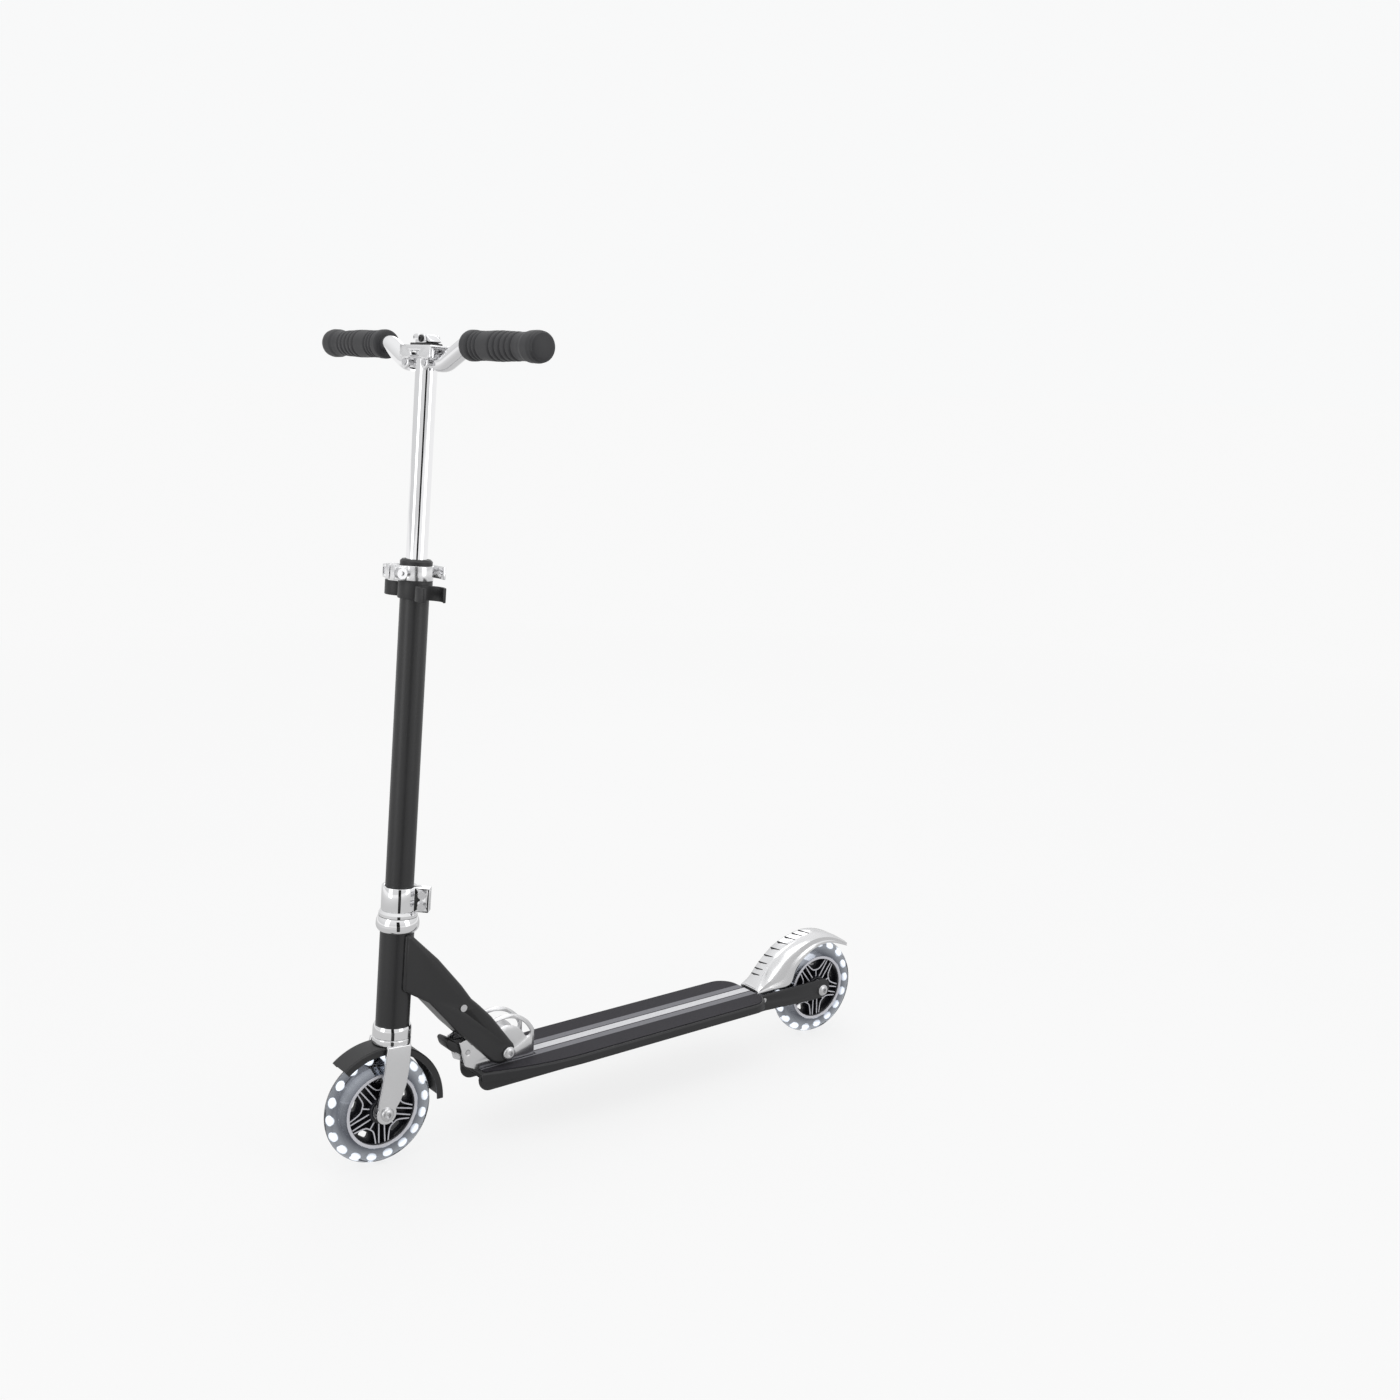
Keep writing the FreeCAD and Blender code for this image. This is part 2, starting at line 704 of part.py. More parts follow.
def folding_frame():
    keep(down_tube(), "down_tube")
    low, high = head_low, head_high
    spun("HeadTube", [(size("head_bore"), low), (size("head_radius"), low), (size("head_radius"), high),
                      (size("head_bore"), high)], "head_tube")
    bore = size("steerer_radius") + 0.5
    lip = ring_low - 0.5
    spun("UpperCup", [
        (bore, high - 10), (size("head_bore") - 0.02, high - 10), (size("head_bore") - 0.02, high),
        (20, high), ((22.2, high + 3), (22.8, high + 7)), ((22.4, high + 11), (20.5, lip)), (19.2, lip),
        (19.2, high + 4), (bore, high + 4),
    ], "upper_cup")
    base = crown + 0.5
    spun("LowerCup", [
        (bore, low + 10), (size("head_bore") - 0.02, low + 10), (size("head_bore") - 0.02, low),
        (19.5, low), ((20.4, low - 3), (20.6, low - 6)), (20.6, base), (18.6, base), (18.6, low - 3),
        (bore, low - 3),
    ], "lower_cup")
    inner = size("steerer_radius") + 0.55
    rings = [spun(f"HeadBearing{n}", [(inner, a), (r, a), (r, a + 6.5), (inner, a + 6.5)], placement=None)
             for n, (a, r) in enumerate([(high + 4.2, 19.0), (low - 9.8, 18.4)])]
    keep(group("HeadBearings", rings), "headset_bearings", ON_AXIS)
    x, z = around_fold(stop_radius, stop_rest)
    keep(hinge_pin("StopPin", x, z, 20, "Sizes.stop_pin_radius"), "stop_pin")
    head_y = beam_half + 1.4
    rivet = fuse("Rivet", [
        hinge_pin("RivetShank", rivet_x, rivet_z, beam_half, 2.48),
        rod("RivetHeadLeft", (rivet_x, beam_half, rivet_z), (rivet_x, head_y, rivet_z), 4),
        rod("RivetHeadRight", (rivet_x, -head_y, rivet_z), (rivet_x, -beam_half, rivet_z), 4),
    ])
    keep(rivet, "stem_rivet")


# ---------------------------------------------------------------- steering assembly
def fork():
    """Pressed fork: round crown and two flat legs that reach forward to the axle."""
    body = new_body("Fork")
    side = new_sketch(body, "XZ_Plane", "ForkSide")
    axle = (12.57, -0.91)
    end = 11.5
    draw(side, [
        (-20, crown), (20, crown), (21, crown - 8),
        ((17.5, 55), (17, 46)),
        ((19, 22), (axle[0] + end, axle[1])),
        ((axle[0], axle[1] - end), (axle[0] - end, axle[1] - 2)),
        ((-7, 18), (-11.5, 46)),
        ((-14, 56), (-21, crown - 8)),
    ])
    pad(body, side, "Sizes.fork_width")
    inside = new_sketch(body, "XZ_Plane", "ForkInside")
    draw(inside, [(-60, -40), (80, -40), (80, crown - 5), (-60, crown - 5)])
    pocket(body, inside, "Sizes.fork_gap")
    hole = new_sketch(body, "XZ_Plane", "ForkHole")
    draw_circle(hole, axle[0], axle[1], size("axle_radius"), "Sizes.axle_radius + 0.03")
    pocket(body, hole, "Sizes.fork_width + 10")
    socket = rod("SteererSocket", (0, 0, crown - 20), (0, 0, crown + 5), "Sizes.steerer_radius + 0.02")
    return cut("ForkCut", body, socket)


def steering():
    keep(fork(), "fork", ON_AXIS)
    radius = size("steerer_radius")
    foot = crown - 4.8
    spun("Steerer", [(radius - 2, foot), (radius, foot), (radius, steerer_top), (radius - 2, steerer_top)],
         "steerer_tube")
    axle_set("front", half_base, size("fork_width") / 2, size("fork_gap") / 2, AT_FRONT_AXLE)
    fender_half = size("fender_width") / 2
    outer = size("fender_radius")
    section = [(outer - 2, fender_half - 2), (outer - 8, fender_half - 1.6), (outer - 8, fender_half),
               (outer - 1.5, fender_half), (outer, fender_half - 2), (outer, 2 - fender_half),
               (outer - 1.5, -fender_half), (outer - 8, -fender_half), (outer - 8, 1.6 - fender_half),
               (outer - 2, 2 - fender_half)]
    middle_angle = 117
    fender_place = Placement(AT_FRONT_AXLE.Base, Rotation(Vector(0, 1, 0), -middle_angle))
    turned("FrontFender", section, "130", "front_fender", fender_place)
    bore = size("column_bore")
    wall = size("column_radius")
    seat = collar_low - 0.02
    spun("LockRing", [(radius + 0.02, ring_low), (20.5, ring_low), (20.5, ring_low + 3), (18.6, seat),
                      (radius + 0.02, seat)], "lock_ring")
    spun("LowerColumn", [(bore, collar_low), (wall, collar_low), (wall, column_top), (bore, column_top)],
         "lower_column")
    bush = (size("bar_radius") + 0.05, bore - 0.02)
    spun("ColumnBush", [(bush[0], bush_low), (bush[1], bush_low), (bush[1], column_top), (bush[0], column_top)],
         "column_bush")
    # the collar's ears point to the rear left
    collar_place = ON_AXIS.multiply(Placement(Vector(), Rotation(Vector(0, 0, 1), -40)))
    keep(collar_clamp(), "collar_clamp", collar_place)
    keep(collar_bolts(), "collar_bolts", collar_place)
    keep(clip_sleeve(), "clip_sleeve", ON_AXIS)
    keep(quick_clamp(), "clamp_band", ON_AXIS)
    keep(clamp_skewer(), "clamp_skewer", ON_AXIS)
    ring = size("bar_radius") + 0.35
    spun("TopRing", [(ring, column_top), (16.6, column_top), (16.6, cap_top - 2), (14.6, cap_top),
                     (ring, cap_top)], "top_ring")


collar_bolt_x = -26
collar_ear_y = 6.5
collar_bolt_heights = (collar_low + 6.5, collar_high - 6.5)


def collar_clamp():
    """Split collar that grips the column on the steerer, with two ears behind."""
    low, high = collar_low, collar_high
    ring = rod("CollarOuter", (0, 0, low), (0, 0, high), 18.4)
    ears = block("CollarEars", (-33, -collar_ear_y, low), (-14, collar_ear_y, high))
    whole = fuse("CollarWhole", [ring, ears])
    bore = rod("CollarBore", (0, 0, low - 1), (0, 0, high + 1), "Sizes.column_radius + 0.02")
    split = block("CollarSplit", (-40, -1.2, low - 1), (0, 1.2, high + 1))
    holes = [rod(f"CollarHole{n}", (collar_bolt_x, -20, height), (collar_bolt_x, 20, height), 2.52)
             for n, height in enumerate(collar_bolt_heights)]
    return cut("CollarCut", whole, group("CollarTools", [bore, split] + holes))


def collar_bolts():
    """The two bolts that draw the collar's ears together, each with its nut."""
    bolts = []
    x = collar_bolt_x
    end = collar_ear_y + 4.5
    for n, height in enumerate(collar_bolt_heights):
        shank = rod(f"CollarShank{n}", (x, -end, height), (x, collar_ear_y + 0.5, height), 2.5)
        head = rod(f"CollarHead{n}", (x, collar_ear_y, height), (x, end, height), 4.3)
        nut = doc.addObject("Part::Prism", f"CollarNut{n}")
        nut.Polygon = 6
        nut.Circumradius = 4.6
        nut.Height = 4
        nut.Placement = Placement(Vector(x, -collar_ear_y, height), Rotation(Vector(1, 0, 0), 90))
        bolts.append(fuse(f"CollarBolt{n}", [shank, head, nut]))
    return group("CollarBolts", bolts)


clip_y = 32.5
clip_bore = 13


def clip_sleeve():
    """Moulded sleeve with a spring clip each side for the folded handles."""
    low, high = clips_low, band_low
    pieces = [rod("SleeveBody", (0, 0, low), (0, 0, high), 17.6)]
    cutters = [rod("SleeveBore", (0, 0, low - 1), (0, 0, high + 1), "Sizes.column_radius + 0.02")]
    for side, sign in (("Left", 1), ("Right", -1)):
        y = sign * clip_y
        pieces.append(rod(f"Clip{side}", (0, y, low), (0, y, clips_high), clip_bore + 2.6))
        cutters.append(rod(f"Clip{side}Bore", (0, y, low - 1), (0, y, high + 1), clip_bore))
        near, far = sorted((sign * (clip_y + 9), sign * (clip_y + 20)))
        cutters.append(block(f"Clip{side}Mouth", (-30, near, low - 1), (30, far, high + 1)))
    body = fuse("SleeveWhole", pieces)
    return cut("SleeveCut", body, group("SleeveTools", cutters))


skewer_x = 23.5
skewer_z = up(635.5)
cam_y = -15.5


def quick_clamp():
    """Clamp band round the top of the column, its ears to the front."""
    low, high = band_low, column_top
    ring = rod("BandOuter", (0, 0, low), (0, 0, high), 18)
    ears = block("BandEars", (13, -9.5, low), (30, 9.5, high))
    whole = fuse("BandWhole", [ring, ears])
    tools = [rod("BandBore", (0, 0, low - 1), (0, 0, high + 1), "Sizes.column_radius + 0.02"),
             block("BandSplit", (10, -1.5, low - 1), (40, 1.5, high + 1)),
             rod("BandHole", (skewer_x, -20, skewer_z), (skewer_x, 20, skewer_z), 2.82)]
    return cut("BandCut", whole, group("BandTools", tools))


def clamp_skewer():
    """Skewer with a round adjusting nut on the left and an eye for the cam on the right."""
    shank = rod("SkewerShank", (skewer_x, cam_y, skewer_z), (skewer_x, 11, skewer_z), 2.8)
    nut = rod("SkewerNut", (skewer_x, 9.5, skewer_z), (skewer_x, 15.5, skewer_z), 5.6)
    socket = rod("SkewerSocket", (skewer_x, 13.5, skewer_z), (skewer_x, 17, skewer_z), 2.4)
    eye = rod("SkewerPin", (skewer_x, cam_y, skewer_z - 7), (skewer_x, cam_y, skewer_z + 7), 2.5)
    return cut("SkewerCut", fuse("SkewerWhole", [shank, nut, eye]), socket)


def clamp_lever():
    """Cam lever: a forked cam on the skewer pin and a strap that wraps behind the column."""
    low, high = skewer_z - 6.5, skewer_z + 6.5
    cam = rod("CamBody", (skewer_x, cam_y, low), (skewer_x, cam_y, high), 5.5)
    inner = spline_through([(skewer_x - 2, cam_y - 3.4), (4, -25.5), (-17, -20.5), (-26.5, -4), (-26, 10)])
    outer = spline_through([(skewer_x - 1, cam_y - 5.4), (3.5, -28.8), (-19, -23.3), (-29.8, -4.5),
                            (-29.2, 10)])
    ends = [Part.makeLine(inner.StartPoint, outer.StartPoint), Part.makeLine(inner.EndPoint, outer.EndPoint)]
    face = Part.Face(Part.Wire(Part.__sortEdges__([inner.toShape(), outer.toShape()] + ends)))
    band = face.extrude(Vector(0, 0, high - low))
    strap = shape_piece("LeverStrap", band, Placement(Vector(0, 0, low), Rotation()))
    whole = fuse("LeverWhole", [cam, strap])
    half = 3.3
    slot = block("CamSlot", (skewer_x - 9, cam_y - 3.2, skewer_z - half),
                 (skewer_x + 9, cam_y + 8, skewer_z + half))
    bore = rod("CamBore", (skewer_x, cam_y, low - 1), (skewer_x, cam_y, high + 1), 2.56)
    return cut("LeverCut", whole, group("LeverTools", [slot, bore]))


# ---------------------------------------------------------------- handlebar
hinge_y = size("hinge_offset")
pin_radius = 3
head_half_x = 14.5
head_half_y = 32
head_wall = 3
latch_pin_y = 3.5
latch_pin_radius = 2.2


def handlebar_stem():
    """Sliding T-bar tube with its head, the handle pins and the lock's base."""
    radius = size("bar_radius")
    inner = radius - size("bar_wall")
    top = channel_top - head_wall
    spun("BarTube", [(inner, bar_low), (radius, bar_low), (radius, top), (inner, top)], "t_bar_tube")
    keep(t_head(), "t_head", ON_AXIS)
    pins = [rod(f"HandlePin{n}", (-15.5, y, hinge_z), (15.5, y, hinge_z), pin_radius)
            for n, y in enumerate((hinge_y, -hinge_y))]
    keep(group("HandlePins", pins), "handle_pins", ON_AXIS)
    keep(lock_base(), "lock_base", ON_AXIS)


def t_head():
    """Downward channel that carries both handle hinges, with a slot in front and a socket for the stem."""
    wide = head_half_x
    shell = block("HeadShell", (-wide, -head_half_y, channel_low), (wide, head_half_y, channel_top))
    cheeks = [rod(f"HeadCheek{side}", (-wide, y, hinge_z), (wide, y, hinge_z), 7)
              for side, y in (("Left", hinge_y), ("Right", -hinge_y))]
    whole = fuse("HeadWhole", [shell] + cheeks)
    inner = wide - head_wall
    shapes = [block("HeadGap", (-inner, -40, hinge_z - 10), (inner, 40, channel_top - head_wall)),
              block("HeadWindow", (5, -9, channel_low + 3), (20, 9, channel_low + 7))]
    for n, y in enumerate((hinge_y, -hinge_y)):
        shapes.append(rod(f"HeadPinHole{n}", (-20, y, hinge_z), (20, y, hinge_z), pin_radius + 0.02))
    return cut("HeadCut", whole, group("HeadTools", shapes))


def lock_base():
    """Lugs on top of the head that carry the handle lock lever and its pad."""
    base = channel_top
    pad_block = block("LockPad", (-9, -20, base), (9, 14, base + 2.4))
    lugs = [block(f"LockLug{n}", (a, latch_pin_y - 5, base), (a + 2.4, latch_pin_y + 5, base + 11))
            for n, a in enumerate((-9, 6.6))]
    pin = rod("LockPin", (-10.5, latch_pin_y, latch_pin_z), (10.5, latch_pin_y, latch_pin_z), latch_pin_radius)
    head = rod("LockPinHead", (9, latch_pin_y, latch_pin_z), (11.5, latch_pin_y, latch_pin_z), 3.6)
    return fuse("LockBaseWhole", [pad_block, pin, head] + lugs)


def lock_lever():
    """Lever between the lugs: a pressing tongue on one side and a nose on the other."""
    body = new_body("LockLever")
    side = new_sketch(body, "YZ_Plane", "LeverSide")
    z = latch_pin_z
    base = channel_top
    draw(side, [(-19, base + 5.4), (-2, base + 5.4), ((latch_pin_y, z - 3.7), (8, base + 3.8)),
                (15, base + 3.2), (17.5, base + 4.6), (9, z + 2.2), ((latch_pin_y, z + 4.6), (-2, z + 3.6)),
                (-8, base + 9.4), ((-14, base + 11.6), (-20, base + 10))])
    pad(body, side, "12.4")
    hole = new_sketch(body, "YZ_Plane", "LeverHole")
    draw_circle(hole, latch_pin_y, z, latch_pin_radius, f"{latch_pin_radius} + 0.07")
    pocket(body, hole, "40")
    return body


def handle(side, sign):
    """One folding half of the bar: a bent tube with a flat tongue on the hinge pin, and its grip."""
    title = side.capitalize()
    reach = size("handle_half_width")
    start_y = 28
    bends = [(start_y, handle_low), (40, handle_low), (78, handle_high), (reach, handle_high)]
    wire = bent_wire([(0, sign * y, z) for y, z in bends], 30)
    outside = pipe_along(wire, size("handle_radius"))
    bore = pipe_along(wire, size("handle_radius") - size("handle_wall"))
    tube = shape_piece(title + "Tube", outside.cut(bore), Placement())
    low, high = sorted((sign * hinge_y, sign * (start_y + 12)))
    tongue = block(title + "Tongue", (-6, low, hinge_z - 5), (6, high, hinge_z + 5))
    eye = rod(title + "Eye", (-6, sign * hinge_y, hinge_z), (6, sign * hinge_y, hinge_z), 5)
    y = sign * hinge_y
    hole = rod(title + "EyeHole", (-20, y, hinge_z), (20, y, hinge_z), pin_radius + 0.07)
    whole = fuse(title + "Bar", [tube, tongue, eye])
    keep(cut(title + "BarDrilled", whole, hole), f"{side}_handle_tube", ON_AXIS)
    grip_start = 85
    radius = size("grip_radius")
    bore_radius = size("handle_radius") + 0.02
    length = reach + 3 - grip_start
    flare = radius + 1.4
    waist = radius - 1.8
    outline = [(bore_radius, 0), (flare - 2.5, 0), ((flare - 0.4, 1.6), (flare, 4.5)), (flare, 10),
               (radius, 16), (radius - 0.3, length * 0.5), (waist, length * 0.72), (waist, length * 0.8),
               (radius + 0.4, length - 9), ((radius - 0.8, length - 2.2), (radius - 4, length)),
               (0, length), (0, length - 2.5), (bore_radius, length - 2.5)]
    body = new_body(title + "Grip")
    section = new_sketch(body, "XY_Plane", title + "GripSection")
    draw(section, outline)
    turn = body.newObject("PartDesign::Revolution", title + "GripTurn")
    turn.Profile = section
    turn.ReferenceAxis = (section, ["V_Axis"])
    turn.Angle = 360
    facing = Rotation() if sign > 0 else Rotation(Vector(0, 0, 1), 180)
    body.Placement = Placement(Vector(0, sign * grip_start, handle_high), facing)
    keep(body, f"{side}_grip", ON_AXIS.multiply(body.Placement))


# ---------------------------------------------------------------- fold release
def release_lever():
    """Foot lever on the front of the bracket: a pad in front, a nose behind the pin."""
    body = new_body("ReleaseLever")
    side = new_sketch(body, "XZ_Plane", "LeverProfile")
    x, z = latch_x, latch_z
    draw(side, [
        (x - 14, z + 4), (x - 14, z - 3), (x - 6, z - 5), ((x, z - 6), (x + 6, z - 3)),
        (x + 13, z + 2), ((x + 21, z + 7), (x + 24, z + 14)), ((x + 23.5, z + 18), (x + 20, z + 18)),
        ((x + 12, z + 13), (x + 5, z + 8)), ((x, z + 7), (x - 6, z + 6)),
    ])
    pad(body, side, "Sizes.bracket_width - 2 * Sizes.bracket_wall - 1.2")
    hole = new_sketch(body, "XZ_Plane", "LeverPinHole")
    draw_circle(hole, x, z, 2.5, "2.57")
    pocket(body, hole, "60")
    return body


# ---------------------------------------------------------------- assembly
beam = deck_beam()
plate = deck_plate()
bracket = fold_bracket()
drills = bracket_bolts(grow=0.05)
keep(cut("BeamDrilled", beam, drills), "deck_beam")
keep(cut("PlateDrilled", plate, drills), "deck_plate")
keep(grip_tape(), "grip_tape")
keep(cut("BracketDrilled", bracket, drills), "fold_bracket")
keep(bracket_bolts(), "bracket_bolts")
doc.recompute()

pivot_y = beam_half + 0.3
pivot_bolt = cross_bolt("PivotBolt", fold_x, fold_z, pivot_y, -pivot_y - 8, size("pivot_radius"), 7.6, 4.2)
keep(pivot_bolt, "pivot_bolt")
keep(hex_nut("PivotNut", fold_x, fold_z, -pivot_y, 7, 13, "Sizes.pivot_radius"), "pivot_nut")
turned("PivotBush", [(4.02, -bracket_inner), (8, -bracket_inner), (8, bracket_inner), (4.02, bracket_inner)],
       label="pivot_bush", placement=Placement(Vector(fold_x, 0, fold_z), Rotation()))
keep(hinge_pin("ReleasePin", latch_x, latch_z, bracket_half, 2.5), "release_pin")
keep(release_lever(), "release_lever")
release_coil = coil(3.2, 0.55, 2.6, 10.4)
release_spring_place = Placement(Vector(201, 0, deck_top + 4.6), Rotation())
keep(shape_piece("ReleaseSpring", release_coil, release_spring_place), "release_spring")
axle_set("rear", -half_base, beam_half, beam_half - beam_wall, AT_REAR_AXLE)
wheel("rear", AT_REAR_AXLE)
wheel("front", AT_FRONT_AXLE)
keep(mudguard(), "brake_mudguard")
keep(hinge_pin("BrakePin", brake_x, brake_z, beam_half + 1, brake_pin_radius), "brake_pin")
keep(group("BrakeSpring", [
    shape_piece(f"BrakeCoil{n}", coil(4.2, 0.6, 1.4, 5.6),
                Placement(Vector(brake_x, y, brake_z), Rotation(Vector(1, 0, 0), -90)))
    for n, y in enumerate((11.2, -16.8))]), "brake_springs")
folding_frame()
steering()
keep(clamp_lever(), "clamp_lever", ON_AXIS)
handlebar_stem()
keep(lock_lever(), "lock_lever", ON_AXIS)
handle("left", 1)
handle("right", -1)
doc.recompute()


# ---------------------------------------------------------------- tests and files
def find_faults():
    faults = [f"{obj.Name}: {obj.State}" for obj in doc.Objects if {"Invalid", "Error"} & set(obj.State)]
    for piece in PIECES:
        if piece.Shape.isNull() or not piece.Shape.isValid():
            faults.append(f"{piece.Label}: bad shape")
    return faults


faults = find_faults()
if faults:
    raise RuntimeError("; ".join(faults))

os.makedirs("parts", exist_ok=True)
for piece in PIECES:
    piece.Shape.exportStep(f"parts/{piece.Label}.step")
    box = piece.Shape.BoundBox
    print(f"{piece.Label}: {len(piece.Shape.Solids)} solids, {piece.Shape.Volume:.0f} mm3, "
          f"x {box.XMin:.1f}..{box.XMax:.1f}, y {box.YMin:.1f}..{box.YMax:.1f}, "
          f"z {box.ZMin:.1f}..{box.ZMax:.1f}")
print(len(PIECES), "pieces")
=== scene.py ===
import json
import math

import bmesh
import bpy
from mathutils import Matrix, Vector

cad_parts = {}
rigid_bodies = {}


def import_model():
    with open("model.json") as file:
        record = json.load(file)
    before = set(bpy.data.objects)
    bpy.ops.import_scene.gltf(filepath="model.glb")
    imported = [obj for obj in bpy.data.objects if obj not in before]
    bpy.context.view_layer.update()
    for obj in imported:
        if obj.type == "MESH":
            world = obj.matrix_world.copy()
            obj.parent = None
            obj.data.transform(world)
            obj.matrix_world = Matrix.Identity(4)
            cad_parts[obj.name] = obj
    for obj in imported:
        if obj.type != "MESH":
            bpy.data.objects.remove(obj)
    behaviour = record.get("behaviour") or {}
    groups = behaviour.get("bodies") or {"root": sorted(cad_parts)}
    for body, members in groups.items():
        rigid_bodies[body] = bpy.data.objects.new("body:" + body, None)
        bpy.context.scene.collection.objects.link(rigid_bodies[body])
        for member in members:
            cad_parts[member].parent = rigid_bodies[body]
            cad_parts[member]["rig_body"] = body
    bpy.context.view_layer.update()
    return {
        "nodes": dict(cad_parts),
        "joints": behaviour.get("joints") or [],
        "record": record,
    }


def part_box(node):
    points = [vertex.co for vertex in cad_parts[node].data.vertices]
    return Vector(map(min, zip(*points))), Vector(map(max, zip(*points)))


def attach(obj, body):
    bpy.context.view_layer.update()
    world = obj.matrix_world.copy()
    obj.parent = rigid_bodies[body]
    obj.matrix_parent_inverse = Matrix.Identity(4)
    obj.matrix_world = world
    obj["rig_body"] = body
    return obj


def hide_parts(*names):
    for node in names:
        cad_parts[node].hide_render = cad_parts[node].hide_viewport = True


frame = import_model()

# Looks of the folding kick scooter. Metres; +X rolls forward, +Y is the rider's left, +Z up.

MM = 0.001
scene = bpy.context.scene
nodes = frame["nodes"]
joints = {joint["name"]: joint for joint in frame["joints"]}


# ---------------------------------------------------------------- places read from the frame
def centre_of(node):
    low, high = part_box(node)
    return (low + high) / 2


def joint_place(name):
    """Where a joint is, in the row frame."""
    return Vector(joints[name]["pos_m"])


FRONT_AXLE = joint_place("front_spin")
REAR_AXLE = joint_place("rear_spin")
WHEEL_RADIUS = (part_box("front_tyre")[1].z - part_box("front_tyre")[0].z) / 2
WHEEL_HALF = (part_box("front_tyre")[1].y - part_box("front_tyre")[0].y) / 2

steer_axis = Vector(joints["steer"]["axis"]).normalized()
across = Vector((0, 1, 0))
forward = across.cross(steer_axis).normalized()
STEER = Matrix.Translation(joint_place("steer")) @ Matrix((
    (forward.x, across.x, steer_axis.x, 0),
    (forward.y, across.y, steer_axis.y, 0),
    (forward.z, across.z, steer_axis.z, 0),
    (0, 0, 0, 1),
))
STEER_BACK = STEER.inverted()


def steer_box(node):
    """Lowest and highest corner of a node in the steering frame, whose Z runs up the column."""
    points = [STEER_BACK @ vertex.co for vertex in nodes[node].data.vertices]
    low = Vector(min(point[axis] for point in points) for axis in range(3))
    high = Vector(max(point[axis] for point in points) for axis in range(3))
    return low, high


# ---------------------------------------------------------------- shader groups
def new_group(name, inputs, outputs):
    """An empty shader node group with (name, kind, default) inputs and (name, kind) outputs."""
    tree = bpy.data.node_groups.new(name, "ShaderNodeTree")
    for label, kind, default in inputs:
        socket = tree.interface.new_socket(label, in_out="INPUT", socket_type=kind)
        socket.default_value = default
    for label, kind in outputs:
        tree.interface.new_socket(label, in_out="OUTPUT", socket_type=kind)
    return tree, tree.nodes.new("NodeGroupInput"), tree.nodes.new("NodeGroupOutput")


def math_node(tree, operation, *values, clamp=False):
    node = tree.nodes.new("ShaderNodeMath")
    node.operation = operation
    node.use_clamp = clamp
    for socket, value in zip(node.inputs, values):
        if isinstance(value, (int, float)):
            socket.default_value = value
        else:
            tree.links.new(value, socket)
    return node.outputs[0]


def noise_node(tree, vector, size, detail=2.0, roughness=0.5):
    """Noise from 0 to 1 over lumps of the given size; size is metres or a socket of them."""
    node = tree.nodes.new("ShaderNodeTexNoise")
    node.inputs["Detail"].default_value = detail
    node.inputs["Roughness"].default_value = roughness
    tree.links.new(vector, node.inputs["Vector"])
    if isinstance(size, float):
        node.inputs["Scale"].default_value = 1 / size
    else:
        tree.links.new(math_node(tree, "DIVIDE", 1.0, size), node.inputs["Scale"])
    return node.outputs["Fac"]


def object_place(tree):
    return tree.nodes.new("ShaderNodeTexCoord").outputs["Object"]


def grain_group():
    """Fine moulded or sprayed grain: a height, and a mask of the same lumps."""
    tree, given, out = new_group(
        "Surface Grain",
        [("Size", "NodeSocketFloat", 0.001), ("Depth", "NodeSocketFloat", 1.0)],
        [("Height", "NodeSocketFloat"), ("Mask", "NodeSocketFloat")])
    lumps = noise_node(tree, object_place(tree), given.outputs["Size"], detail=3.0)
    tree.links.new(math_node(tree, "MULTIPLY", lumps, given.outputs["Depth"]), out.inputs["Height"])
    tree.links.new(lumps, out.inputs["Mask"])
    return tree


def handling_group():
    """Broad cloudy smears of handling and fine dust, as a mask from 0 to 1."""
    tree, given, out = new_group(
        "Handling Dust",
        [("Patch Size", "NodeSocketFloat", 0.05), ("Amount", "NodeSocketFloat", 0.5)],
        [("Mask", "NodeSocketFloat")])
    place = object_place(tree)
    broad = noise_node(tree, place, given.outputs["Patch Size"], detail=4.0, roughness=0.6)
    specks = noise_node(tree, place, 0.0009, detail=1.0)
    raised = math_node(tree, "SUBTRACT", broad, 0.35, clamp=True)
    dusty = math_node(tree, "ADD", raised, math_node(tree, "MULTIPLY", specks, 0.25))
    mixed = math_node(tree, "MULTIPLY", dusty, given.outputs["Amount"], clamp=True)
    tree.links.new(mixed, out.inputs["Mask"])
    return tree


def brushed_group():
    """Long fine scratches along one axis, from Object coordinates squeezed across it."""
    tree, given, out = new_group(
        "Brushed Lines",
        [("Stretch", "NodeSocketVector", (1.0, 1.0, 1.0)), ("Size", "NodeSocketFloat", 0.0006)],
        [("Mask", "NodeSocketFloat"), ("Height", "NodeSocketFloat")])
    squeeze = tree.nodes.new("ShaderNodeVectorMath")
    squeeze.operation = "MULTIPLY"
    tree.links.new(object_place(tree), squeeze.inputs[0])
    tree.links.new(given.outputs["Stretch"], squeeze.inputs[1])
    lines = noise_node(tree, squeeze.outputs[0], given.outputs["Size"], detail=4.0, roughness=0.65)
    tree.links.new(lines, out.inputs["Mask"])
    tree.links.new(lines, out.inputs["Height"])
    return tree


